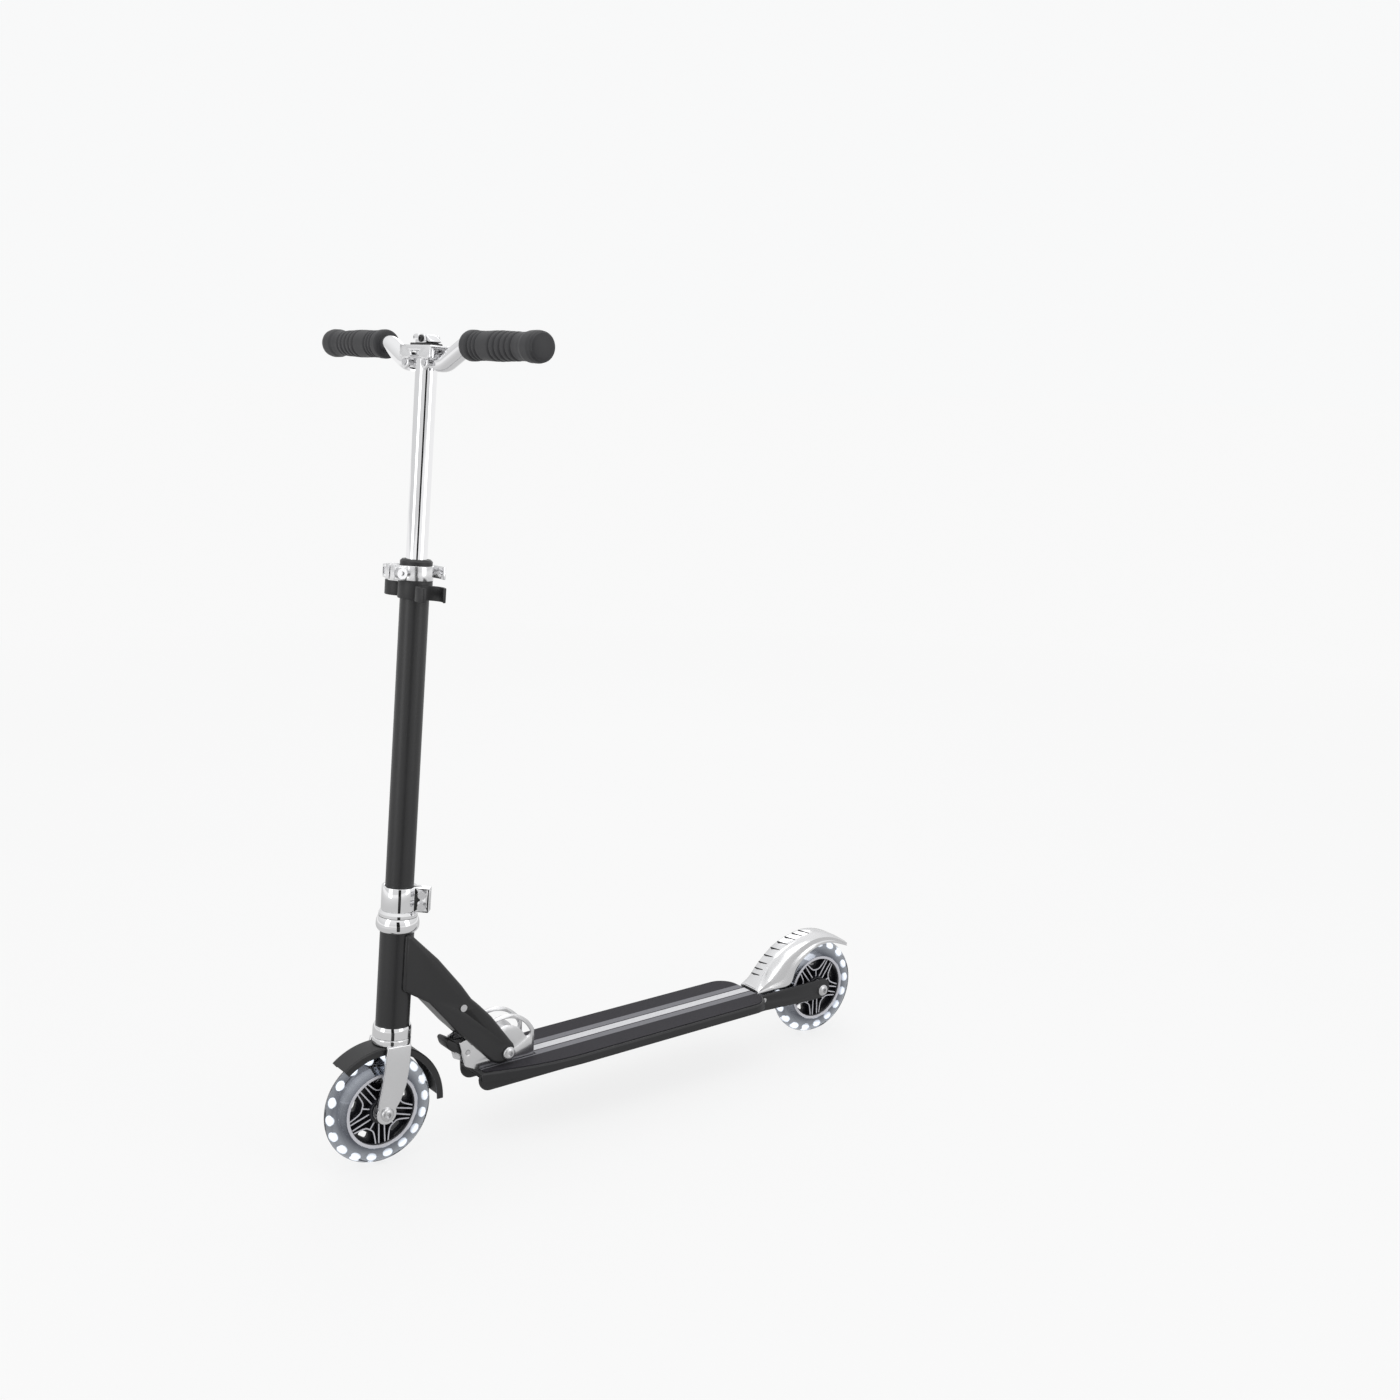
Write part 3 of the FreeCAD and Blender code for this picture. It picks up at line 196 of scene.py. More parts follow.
def edge_wear_highlight_group():
    """Lighter edges, a painted highlight where the surface turns inside a small radius, broken up by noise like
    rubbing.
    """
    tree, given, out = new_group(
        "Edge Wear And Painted Highlight",
        [("Chip Size", "NodeSocketFloat", 0.004), ("Amount", "NodeSocketFloat", 0.5)],
        [("Mask", "NodeSocketFloat")])
    rounded = tree.nodes.new("ShaderNodeBevel")
    rounded.samples = 3
    rounded.inputs["Radius"].default_value = 0.0009
    straight = tree.nodes.new("ShaderNodeNewGeometry")
    agree = tree.nodes.new("ShaderNodeVectorMath")
    agree.operation = "DOT_PRODUCT"
    tree.links.new(rounded.outputs["Normal"], agree.inputs[0])
    tree.links.new(straight.outputs["Normal"], agree.inputs[1])
    turning = math_node(tree, "SUBTRACT", 1.0, agree.outputs["Value"], clamp=True)
    edge = math_node(tree, "MULTIPLY", turning, 6.0, clamp=True)
    chips = noise_node(tree, object_place(tree), given.outputs["Chip Size"], detail=4.0)
    raised = math_node(tree, "SUBTRACT", chips, 0.42, clamp=True)
    picked = math_node(tree, "MULTIPLY", raised, 5.0, clamp=True)
    chipped = math_node(tree, "MULTIPLY", edge, picked)
    worn_lit_edges = math_node(tree, "MULTIPLY", chipped, given.outputs["Amount"], clamp=True)
    tree.links.new(worn_lit_edges, out.inputs["Mask"])
    return tree


GRAIN = grain_group()
HANDLING = handling_group()
BRUSHED = brushed_group()
EDGE_WEAR_AND_HIGHLIGHT = edge_wear_highlight_group()


# ---------------------------------------------------------------- materials
class Finish:
    """One material: a Principled shader whose sockets are fed by the groups."""

    def __init__(self, name, **sockets):
        self.material = bpy.data.materials.new(name)
        self.material.use_nodes = True
        self.tree = self.material.node_tree
        self.shader = self.tree.nodes["Principled BSDF"]
        for label, value in sockets.items():
            self.shader.inputs[label.replace("_", " ")].default_value = value

    def group(self, tree, **values):
        node = self.tree.nodes.new("ShaderNodeGroup")
        node.node_tree = tree
        for label, value in values.items():
            node.inputs[label.replace("_", " ")].default_value = value
        return node.outputs

    def between(self, factor, low, high):
        """A number that runs from low to high with a mask."""
        node = self.tree.nodes.new("ShaderNodeMapRange")
        node.inputs["To Min"].default_value = low
        node.inputs["To Max"].default_value = high
        self.tree.links.new(factor, node.inputs["Value"])
        return node.outputs["Result"]

    def mix(self, factor, first, second):
        """A colour between two; each is a colour or a socket."""
        node = self.tree.nodes.new("ShaderNodeMix")
        node.data_type = "RGBA"
        self.tree.links.new(factor, node.inputs["Factor"])
        for socket, value in ((node.inputs[6], first), (node.inputs[7], second)):
            if isinstance(value, tuple):
                socket.default_value = (*value, 1.0)
            else:
                self.tree.links.new(value, socket)
        return node.outputs[2]

    def feed(self, label, value):
        self.tree.links.new(value, self.shader.inputs[label])

    def bump(self, height, distance, strength=1.0):
        node = self.tree.nodes.new("ShaderNodeBump")
        node.inputs["Distance"].default_value = distance
        node.inputs["Strength"].default_value = strength
        self.tree.links.new(height, node.inputs["Height"])
        self.feed("Normal", node.outputs["Normal"])


def painted(name, colour, edge_highlight_colour, roughness, edge_wear_highlight, peel):
    """Powder coat: orange peel, dusty patches, and edges painted lighter as a painted highlight broken up like
    rubbing.
    """
    finish = Finish(name, Metallic=0.0, IOR=1.5)
    dust = finish.group(HANDLING, Patch_Size=0.06, Amount=0.5)["Mask"]
    worn_lit_edges = finish.group(EDGE_WEAR_AND_HIGHLIGHT, Chip_Size=0.005, Amount=edge_wear_highlight)["Mask"]
    grain = finish.group(GRAIN, Size=peel, Depth=1.0)
    dusty = tuple(channel * 1.5 + 0.004 for channel in colour)
    # The edges get the lighter colour: a painted highlight where light catches them, broken up by noise.
    finish.feed("Base Color", finish.mix(worn_lit_edges, finish.mix(dust, colour, dusty), edge_highlight_colour))
    finish.feed("Roughness", finish.between(dust, roughness, roughness + 0.12))
    finish.bump(grain["Height"], 0.00006)
    return finish.material


def metal(name, colour, roughness, spread, stretch, line=0.0005, depth=0.000008, tint=0.9):
    """Bare or plated metal with fine working lines and handling smears."""
    finish = Finish(name, Metallic=1.0)
    lines = finish.group(BRUSHED, Stretch=stretch, Size=line)
    smears = finish.group(HANDLING, Patch_Size=0.035, Amount=0.6)["Mask"]
    darker = tuple(channel * tint for channel in colour)
    finish.feed("Base Color", finish.mix(smears, colour, darker))
    finish.feed("Roughness", finish.between(lines["Mask"], roughness, roughness + spread))
    finish.bump(lines["Height"], depth)
    return finish.material


def moulded(name, colour, roughness, grain_size, depth, edge_wear_highlight=0.15):
    """Moulded plastic or rubber with a fine grain and edges painted lighter, a painted highlight broken up like
    scuffs.
    """
    finish = Finish(name, Metallic=0.0)
    dust = finish.group(HANDLING, Patch_Size=0.03, Amount=0.6)["Mask"]
    worn_lit_edges = finish.group(EDGE_WEAR_AND_HIGHLIGHT, Chip_Size=0.003, Amount=edge_wear_highlight)["Mask"]
    grain = finish.group(GRAIN, Size=grain_size, Depth=1.0)
    paler = tuple(channel * 1.6 + 0.006 for channel in colour)
    scuffed_lit_edge_colour = tuple(channel * 2.2 + 0.02 for channel in colour)
    # The paler colour at the edges is a painted highlight where light catches them, broken up by noise.
    finish.feed("Base Color", finish.mix(worn_lit_edges, finish.mix(dust, colour, paler), scuffed_lit_edge_colour))
    finish.feed("Roughness", finish.between(grain["Mask"], roughness - 0.06, roughness + 0.08))
    finish.bump(grain["Height"], depth)
    return finish.material


def grit_sheet():
    """Charcoal abrasive sheet with a white stripe down the middle between two grey ones."""
    finish = Finish("Grit Sheet", Metallic=0.0)
    tree = finish.tree
    place = object_place(tree)
    split = tree.nodes.new("ShaderNodeSeparateXYZ")
    tree.links.new(place, split.inputs[0])
    side = math_node(tree, "ABSOLUTE", split.outputs["Y"])
    grit = noise_node(tree, place, 0.0011, detail=4.0, roughness=0.7)
    patches = finish.group(HANDLING, Patch_Size=0.05, Amount=0.7)["Mask"]
    charcoal = finish.mix(grit, (0.007, 0.006, 0.009), (0.028, 0.026, 0.034))
    dusty = finish.mix(patches, charcoal, (0.030, 0.028, 0.035))
    grey = finish.mix(grit, (0.12, 0.12, 0.135), (0.26, 0.26, 0.28))
    white = finish.mix(grit, (0.50, 0.50, 0.52), (0.78, 0.78, 0.80))
    inside_band = math_node(tree, "LESS_THAN", side, 0.0175)
    past_line = math_node(tree, "GREATER_THAN", side, 0.0077)
    inside_white = math_node(tree, "LESS_THAN", side, 0.0059)
    in_grey = math_node(tree, "MULTIPLY", inside_band, past_line)
    finish.feed("Base Color", finish.mix(inside_white, finish.mix(in_grey, dusty, grey), white))
    finish.feed("Roughness", finish.between(grit, 0.72, 0.95))
    finish.bump(grit, 0.00045, 0.8)
    return finish.material


def clear_tyre(name, axle):
    """Smoky clear polyurethane with painted shade darkening it where it meets the hub, clearer towards the tread.
    """
    finish = Finish(name, Metallic=0.0, Transmission_Weight=1.0, IOR=1.22)
    tree = finish.tree
    grain = finish.group(GRAIN, Size=0.004, Depth=1.0)
    cloud = finish.group(HANDLING, Patch_Size=0.012, Amount=0.7)["Mask"]
    from_axle = tree.nodes.new("ShaderNodeVectorMath")
    from_axle.operation = "SUBTRACT"
    tree.links.new(object_place(tree), from_axle.inputs[0])
    from_axle.inputs[1].default_value = axle
    flat = tree.nodes.new("ShaderNodeVectorMath")
    flat.operation = "MULTIPLY"
    flat.inputs[1].default_value = (1, 0, 1)
    tree.links.new(from_axle.outputs[0], flat.inputs[0])
    reach = tree.nodes.new("ShaderNodeVectorMath")
    reach.operation = "LENGTH"
    tree.links.new(flat.outputs[0], reach.inputs[0])
    # From 43 mm out to 53 mm from the axle the base colour lightens from a dark tint: painted shade where the
    # tyre meets the hub.
    hub_shade_fade = tree.nodes.new("ShaderNodeMapRange")
    hub_shade_fade.inputs["From Min"].default_value = 0.043
    hub_shade_fade.inputs["From Max"].default_value = 0.053
    tree.links.new(reach.outputs["Value"], hub_shade_fade.inputs["Value"])
    smoke = finish.mix(cloud, (0.56, 0.59, 0.64), (0.32, 0.35, 0.40))
    finish.feed("Base Color", finish.mix(hub_shade_fade.outputs["Result"], (0.13, 0.14, 0.17), smoke))
    finish.feed("Roughness", finish.between(cloud, 0.06, 0.18))
    finish.bump(grain["Height"], 0.00005)
    return finish.material


def lamp_light():
    """Lit lamp cap: a bright white middle that falls off to a cool rim."""
    finish = Finish("Lit Lamp", Metallic=0.0, Roughness=0.25)
    turned_away = finish.tree.nodes.new("ShaderNodeLayerWeight")
    turned_away.inputs["Blend"].default_value = 0.45
    finish.feed("Emission Strength", finish.between(turned_away.outputs["Facing"], 1.7, 0.04))
    specks = finish.group(GRAIN, Size=0.002, Depth=1.0)["Mask"]
    glow = finish.mix(specks, (0.86, 0.92, 1.0), (1.0, 1.0, 1.0))
    finish.feed("Base Color", glow)
    finish.feed("Emission Color", glow)
    return finish.material


BLACK = (0.0165, 0.0165, 0.0175)
finishes = {
    "frame_paint": painted("Satin Black Coat", BLACK, (0.10, 0.10, 0.105), 0.34, 0.35, 0.0016),
    "deck_paint": painted("Deck Black Coat", (0.0145, 0.0145, 0.0160), (0.09, 0.09, 0.095),
                          0.40, 0.4, 0.0014),
    "grit": grit_sheet(),
    "silver": metal("Satin Silver", (0.84, 0.84, 0.85), 0.19, 0.05, (1.0, 1.0, 0.12),
                    line=0.0003, depth=0.000001, tint=0.95),
    "plated": metal("Chrome Plate", (0.93, 0.93, 0.94), 0.02, 0.03, (1.0, 1.0, 0.05),
                    line=0.0003, depth=0.0000004),
    "zinc": metal("Zinc Plate", (0.70, 0.70, 0.71), 0.22, 0.18, (1.0, 0.2, 1.0)),
    "bearing_steel": metal("Ground Steel", (0.56, 0.56, 0.57), 0.18, 0.15, (1.0, 0.1, 1.0)),
    "black_plastic": moulded("Moulded Black", (0.014, 0.014, 0.015), 0.42, 0.0008, 0.00003),
    "grip_rubber": moulded("Grip Rubber", (0.0200, 0.0200, 0.0225), 0.50, 0.0007, 0.00006),
    "tyre": clear_tyre("Clear Front Tyre", FRONT_AXLE),
    "hub": moulded("Hub Dark Plastic", (0.012, 0.012, 0.016), 0.24, 0.0020, 0.00002),
    "lamp": lamp_light(),
    "spring": metal("Spring Steel", (0.30, 0.30, 0.32), 0.30, 0.2, (1.0, 1.0, 1.0)),
}
rear_tyre_clear = clear_tyre("Clear Rear Tyre", REAR_AXLE)
pale_trim = moulded("Pale Hub Trim", (0.56, 0.56, 0.60), 0.34, 0.0016, 0.00002, edge_wear_highlight=0.0)

slot_of = {part["node"]: part["material_slot"] for part in frame["record"]["subparts"]}
for node_name, thing in nodes.items():
    thing.data.materials.clear()
    thing.data.materials.append(finishes[slot_of[node_name]])


# ---------------------------------------------------------------- mesh helpers
def arc_corner(before, corner, after, radius, steps):
    """Points of the arc that rounds one corner of an outline."""
    a = (Vector(before) - Vector(corner)).normalized()
    b = (Vector(after) - Vector(corner)).normalized()
    half = a.angle(b) / 2
    reach = min(radius / math.tan(half), (Vector(before) - Vector(corner)).length * 0.48,
                (Vector(after) - Vector(corner)).length * 0.48)
    radius = reach * math.tan(half)
    middle = Vector(corner) + (a + b).normalized() * (radius / math.sin(half))
    start = Vector(corner) + a * reach - middle
    end = Vector(corner) + b * reach - middle
    sweep = start.angle_signed(end)
    points = []
    for n in range(steps + 1):
        turn = -sweep * n / steps
        points.append((middle.x + start.x * math.cos(turn) - start.y * math.sin(turn),
                       middle.y + start.x * math.sin(turn) + start.y * math.cos(turn)))
    return points


def rounded(outline, steps=4, closed=True):
    """An outline of (a, b) or (a, b, corner radius) points, in millimetres, as plain points in metres."""
    points = []
    count = len(outline)
    for n, item in enumerate(outline):
        here = (item[0], item[1])
        inner = closed or 0 < n < count - 1
        if len(item) == 3 and inner:
            before = outline[n - 1][:2]
            after = outline[(n + 1) % count][:2]
            points += arc_corner(before, here, after, item[2], steps)
        else:
            points.append(here)
    return [(a * MM, b * MM) for a, b in points]


def lathe(points, steps=96, closed=False):
    """Revolves (radius, along) points round the Y axis. A point at radius 0 is a pole."""
    form = bmesh.new()
    rings = []
    for radius, along in points:
        if radius < 1e-7:
            rings.append([form.verts.new((0, along, 0))] * steps)
            continue
        turns = [2 * math.pi * n / steps for n in range(steps)]
        rings.append([form.verts.new((radius * math.cos(t), along, radius * math.sin(t))) for t in turns])
    pairs = list(zip(rings, rings[1:]))
    if closed:
        pairs.append((rings[-1], rings[0]))
    for first, second in pairs:
        for n in range(steps):
            m = (n + 1) % steps
            corners = []
            for vertex in (first[n], first[m], second[m], second[n]):
                if vertex not in corners:
                    corners.append(vertex)
            if len(corners) > 2:
                form.faces.new(corners)
    return form


def slab(outline, low, high):
    """A plate whose outline is in XZ, from low to high along Y."""
    form = bmesh.new()
    floor = [form.verts.new((x, low, z)) for x, z in outline]
    face = form.faces.new(floor)
    raised = bmesh.ops.extrude_face_region(form, geom=[face])
    moved = [item for item in raised["geom"] if isinstance(item, bmesh.types.BMVert)]
    bmesh.ops.translate(form, verts=moved, vec=(0, high - low, 0))
    return form


def plain_object(name, form, place=None):
    """A mesh object at the origin, its place in its mesh and its faces outwards."""
    if place is not None:
        bmesh.ops.transform(form, matrix=place, verts=form.verts)
    bmesh.ops.remove_doubles(form, verts=form.verts, dist=1e-7)
    bmesh.ops.recalc_face_normals(form, faces=form.faces)
    mesh = bpy.data.meshes.new(name)
    form.to_mesh(mesh)
    form.free()
    thing = bpy.data.objects.new(name, mesh)
    scene.collection.objects.link(thing)
    return thing


def apply_modifiers(thing):
    """Turns what the modifiers make into the object's own plain mesh."""
    bpy.context.view_layer.update()
    graph = bpy.context.evaluated_depsgraph_get()
    mesh = bpy.data.meshes.new_from_object(thing.evaluated_get(graph))
    thing.modifiers.clear()
    thing.data = mesh
    return thing


def smooth(thing, angle=38):
    thing.data.shade_smooth()
    thing.data.set_sharp_from_angle(angle=math.radians(angle))
    return thing


def bevelled(thing, width, segments=2, angle=32):
    """Rounds the hard edges of a mesh by width, in millimetres."""
    edge = thing.modifiers.new("edges", "BEVEL")
    edge.width = width * MM
    edge.segments = segments
    edge.limit_method = "ANGLE"
    edge.angle_limit = math.radians(angle)
    edge.use_clamp_overlap = False
    edge.miter_outer = "MITER_ARC"
    return smooth(apply_modifiers(thing))


def place_piece(thing, body, slot, *replaced, finish=None):
    """Gives a finished mesh its material, picked by its slot unless a finish is given, and its body, and hides
    the CAD nodes it stands for.
    """
    thing.data.materials.clear()
    thing.data.materials.append(finish or finishes[slot])
    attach(thing, body)
    if replaced:
        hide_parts(*replaced)
    return thing


def softened(node, width, segments=2):
    """The CAD node's own shape with its hard edges rounded."""
    form = bmesh.new()
    form.from_mesh(nodes[node].data)
    bmesh.ops.remove_doubles(form, verts=form.verts, dist=2e-6)
    bmesh.ops.dissolve_limit(form, angle_limit=math.radians(1.2), verts=form.verts, edges=form.edges)
    thing = plain_object(node + "_shell", form)
    bevelled(thing, width, segments)
    return place_piece(thing, nodes[node]["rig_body"], slot_of[node], node)


# ---------------------------------------------------------------- geometry node trees
def new_tree(name, inputs):
    """A geometry node tree that starts from a mesh; inputs are (name, kind, default)."""
    tree = bpy.data.node_groups.new(name, "GeometryNodeTree")
    tree.interface.new_socket("Geometry", in_out="INPUT", socket_type="NodeSocketGeometry")
    for label, kind, default in inputs:
        socket = tree.interface.new_socket(label, in_out="INPUT", socket_type=kind)
        if default is not None:
            socket.default_value = default
    tree.interface.new_socket("Geometry", in_out="OUTPUT", socket_type="NodeSocketGeometry")
    return tree, tree.nodes.new("NodeGroupInput"), tree.nodes.new("NodeGroupOutput")


def repeat_round_z(tree, geometry, count):
    """Instances of a geometry, turned evenly about the Z axis."""
    line = tree.nodes.new("GeometryNodeMeshLine")
    line.inputs["Offset"].default_value = (0, 0, 0)
    tree.links.new(count, line.inputs["Count"])
    copies = tree.nodes.new("GeometryNodeInstanceOnPoints")
    tree.links.new(line.outputs["Mesh"], copies.inputs["Points"])
    tree.links.new(geometry, copies.inputs["Instance"])
    number = tree.nodes.new("GeometryNodeInputIndex")
    part = math_node(tree, "DIVIDE", number.outputs[0], count)
    angle = math_node(tree, "MULTIPLY", part, 2 * math.pi)
    about = tree.nodes.new("ShaderNodeCombineXYZ")
    tree.links.new(angle, about.inputs["Z"])
    tree.links.new(about.outputs[0], copies.inputs["Rotation"])
    return copies.outputs["Instances"]


def finish_tree(tree, geometry, given, out):
    """Every tree ends in real geometry with its material set."""
    real = tree.nodes.new("GeometryNodeRealizeInstances")
    tree.links.new(geometry, real.inputs["Geometry"])
    dressed = tree.nodes.new("GeometryNodeSetMaterial")
    tree.links.new(real.outputs["Geometry"], dressed.inputs["Geometry"])
    tree.links.new(given.outputs["Material"], dressed.inputs["Material"])
    tree.links.new(dressed.outputs["Geometry"], out.inputs["Geometry"])


def rib_tree():
    """Sweeps flat ribs along the edges of a mesh in the XY plane and repeats them about Z."""
    tree, given, out = new_tree("Ribs Round A Hub", [
        ("Rib Width", "NodeSocketFloat", 0.002), ("Rib Depth", "NodeSocketFloat", 0.01),
        ("Edge Radius", "NodeSocketFloat", 0.0004), ("Count", "NodeSocketInt", 5),
        ("Material", "NodeSocketMaterial", None)])
    path = tree.nodes.new("GeometryNodeMeshToCurve")
    tree.links.new(given.outputs["Geometry"], path.inputs["Mesh"])
    upright = tree.nodes.new("GeometryNodeSetCurveNormal")
    upright.mode = "Z_UP"
    tree.links.new(path.outputs["Curve"], upright.inputs["Curve"])
    section = tree.nodes.new("GeometryNodeCurvePrimitiveQuadrilateral")
    tree.links.new(given.outputs["Rib Width"], section.inputs["Width"])
    tree.links.new(given.outputs["Rib Depth"], section.inputs["Height"])
    soft = tree.nodes.new("GeometryNodeFilletCurve")
    soft.mode = "POLY"
    soft.inputs["Count"].default_value = 2
    tree.links.new(section.outputs["Curve"], soft.inputs["Curve"])
    tree.links.new(given.outputs["Edge Radius"], soft.inputs["Radius"])
    sweep = tree.nodes.new("GeometryNodeCurveToMesh")
    sweep.inputs["Fill Caps"].default_value = True
    tree.links.new(upright.outputs["Curve"], sweep.inputs["Curve"])
    tree.links.new(soft.outputs["Curve"], sweep.inputs["Profile Curve"])
    finish_tree(tree, repeat_round_z(tree, sweep.outputs["Mesh"], given.outputs["Count"]), given, out)
    return tree


def lamp_tree():
    """Rounded lamp caps in a ring about Z."""
    tree, given, out = new_tree("Lamps In A Ring", [
        ("Count", "NodeSocketInt", 18), ("Ring Radius", "NodeSocketFloat", 0.05),
        ("Lamp Size", "NodeSocketVector", (0.004, 0.006, 0.004)), ("Material", "NodeSocketMaterial", None)])
    ball = tree.nodes.new("GeometryNodeMeshUVSphere")
    ball.inputs["Segments"].default_value = 20
    ball.inputs["Rings"].default_value = 12
    ball.inputs["Radius"].default_value = 1.0
    shape = tree.nodes.new("GeometryNodeTransform")
    out_by = tree.nodes.new("ShaderNodeCombineXYZ")
    tree.links.new(given.outputs["Ring Radius"], out_by.inputs["X"])
    tree.links.new(ball.outputs["Mesh"], shape.inputs["Geometry"])
    tree.links.new(out_by.outputs[0], shape.inputs["Translation"])
    tree.links.new(given.outputs["Lamp Size"], shape.inputs["Scale"])
    finish_tree(tree, repeat_round_z(tree, shape.outputs["Geometry"], given.outputs["Count"]), given, out)
    return tree


def bead_tree():
    """Round beads swept along the edges of a mesh: raised ridges and weld lines."""
    tree, given, out = new_tree("Raised Beads", [
        ("Bead Radius", "NodeSocketFloat", 0.001), ("Sides", "NodeSocketInt", 10),
        ("Material", "NodeSocketMaterial", None)])
    path = tree.nodes.new("GeometryNodeMeshToCurve")
    tree.links.new(given.outputs["Geometry"], path.inputs["Mesh"])
    section = tree.nodes.new("GeometryNodeCurvePrimitiveCircle")
    tree.links.new(given.outputs["Sides"], section.inputs["Resolution"])
    tree.links.new(given.outputs["Bead Radius"], section.inputs["Radius"])
    sweep = tree.nodes.new("GeometryNodeCurveToMesh")
    sweep.inputs["Fill Caps"].default_value = True
    tree.links.new(path.outputs["Curve"], sweep.inputs["Curve"])
    tree.links.new(section.outputs["Curve"], sweep.inputs["Profile Curve"])
    finish_tree(tree, sweep.outputs["Mesh"], given, out)
    return tree


def grown(thing, tree, **values):
    """Runs a tree on an object, with its inputs set by their identifiers, and keeps the result as a mesh."""
    modifier = thing.modifiers.new(tree.name, "NODES")
    modifier.node_group = tree
    known = {item.name: item.identifier for item in tree.interface.items_tree if item.in_out == "INPUT"}
    for label, value in values.items():
        modifier[known[label.replace("_", " ")]] = value
    return apply_modifiers(thing)


def edges_object(name, paths):
    """A mesh of edges only, one open path after another."""
    form = bmesh.new()
    for path in paths:
        line = [form.verts.new(point) for point in path]
        for a, b in zip(line, line[1:]):
            form.edges.new((a, b))
    mesh = bpy.data.meshes.new(name)
    form.to_mesh(mesh)
    form.free()
    thing = bpy.data.objects.new(name, mesh)
    scene.collection.objects.link(thing)
    return thing


def joined(name, things):
    """Several mesh objects as one."""
    form = bmesh.new()
    for thing in things:
        form.from_mesh(thing.data)
        bpy.data.objects.remove(thing)
    return plain_object(name, form)


RIBS = rib_tree()
LAMPS = lamp_tree()
BEADS = bead_tree()


# ---------------------------------------------------------------- wheels
SPOKE_SETS = 5
RIM_OUTER = 42.0
RIM_INNER = 37.4
CORE_RADIUS = 14.0
LAMP_COUNT = 18
LAMP_RING = 54.6
UPRIGHT = Matrix.Rotation(math.radians(90), 4, "X")


def ray(radius, degrees):
    turn = math.radians(degrees)
    return Vector((radius * math.cos(turn), radius * math.sin(turn), 0)) * MM


def spoke_lines():
    """One fifth of the hub: an arch hung from the rim, its stem to the core, and a pair of spokes."""
    spread = 25
    arch = []
    steps = 18
    for n in range(steps + 1):
        t = n / steps * 2 - 1
        radius = 23.5 + (RIM_INNER + 0.8 - 23.5) * abs(t) ** 2.6
        arch.append(ray(radius, 90 - spread * math.copysign(abs(t) ** 0.75, t)))
    stem = [ray(23.5, 90), ray(CORE_RADIUS - 0.5, 90)]
    lines = [arch, stem]
    for side in (-1, 1):
        root = ray(CORE_RADIUS, 126 + side * 13)
        tip = ray(RIM_INNER + 1, 126 + side * 5.4)
        lines.append([root, tip])
    return lines


WEB_HALF = 1.8
WINDOW_OUTLINE = [(-5, 28, 2), (5, 28, 2), (6.5, 34.5, 2), (-6.5, 34.5, 2)]
WINDOW_HALF = 4 * MM


def hub_web():
    """Thin dark web behind the ribs, open inside each arch."""
    web = plain_object("web", lathe(rounded([(CORE_RADIUS, -WEB_HALF), (RIM_INNER + 0.5, -WEB_HALF),
                                             (RIM_INNER + 0.5, WEB_HALF), (CORE_RADIUS, WEB_HALF)]),
                                    closed=True))
    windows = []
    for n in range(SPOKE_SETS):
        turn = Matrix.Rotation(2 * math.pi * n / SPOKE_SETS, 4, "Y")
        windows.append(plain_object("window", slab(rounded(WINDOW_OUTLINE), -WINDOW_HALF, WINDOW_HALF), turn))
    cutter = joined("windows", windows)
    opening = web.modifiers.new("windows", "BOOLEAN")
    opening.operation = "DIFFERENCE"
    opening.object = cutter
    apply_modifiers(web)
    bpy.data.objects.remove(cutter)
    return web


RIM_HALF = 9.5
BEARING_RADIUS = 11.0
BEARING_WIDTH = 7
LAMP_SIZE = (0.0038, 0.0058, 0.0046)
TYRE_SIDE = 49
TYRE_SHOULDER = 57.0


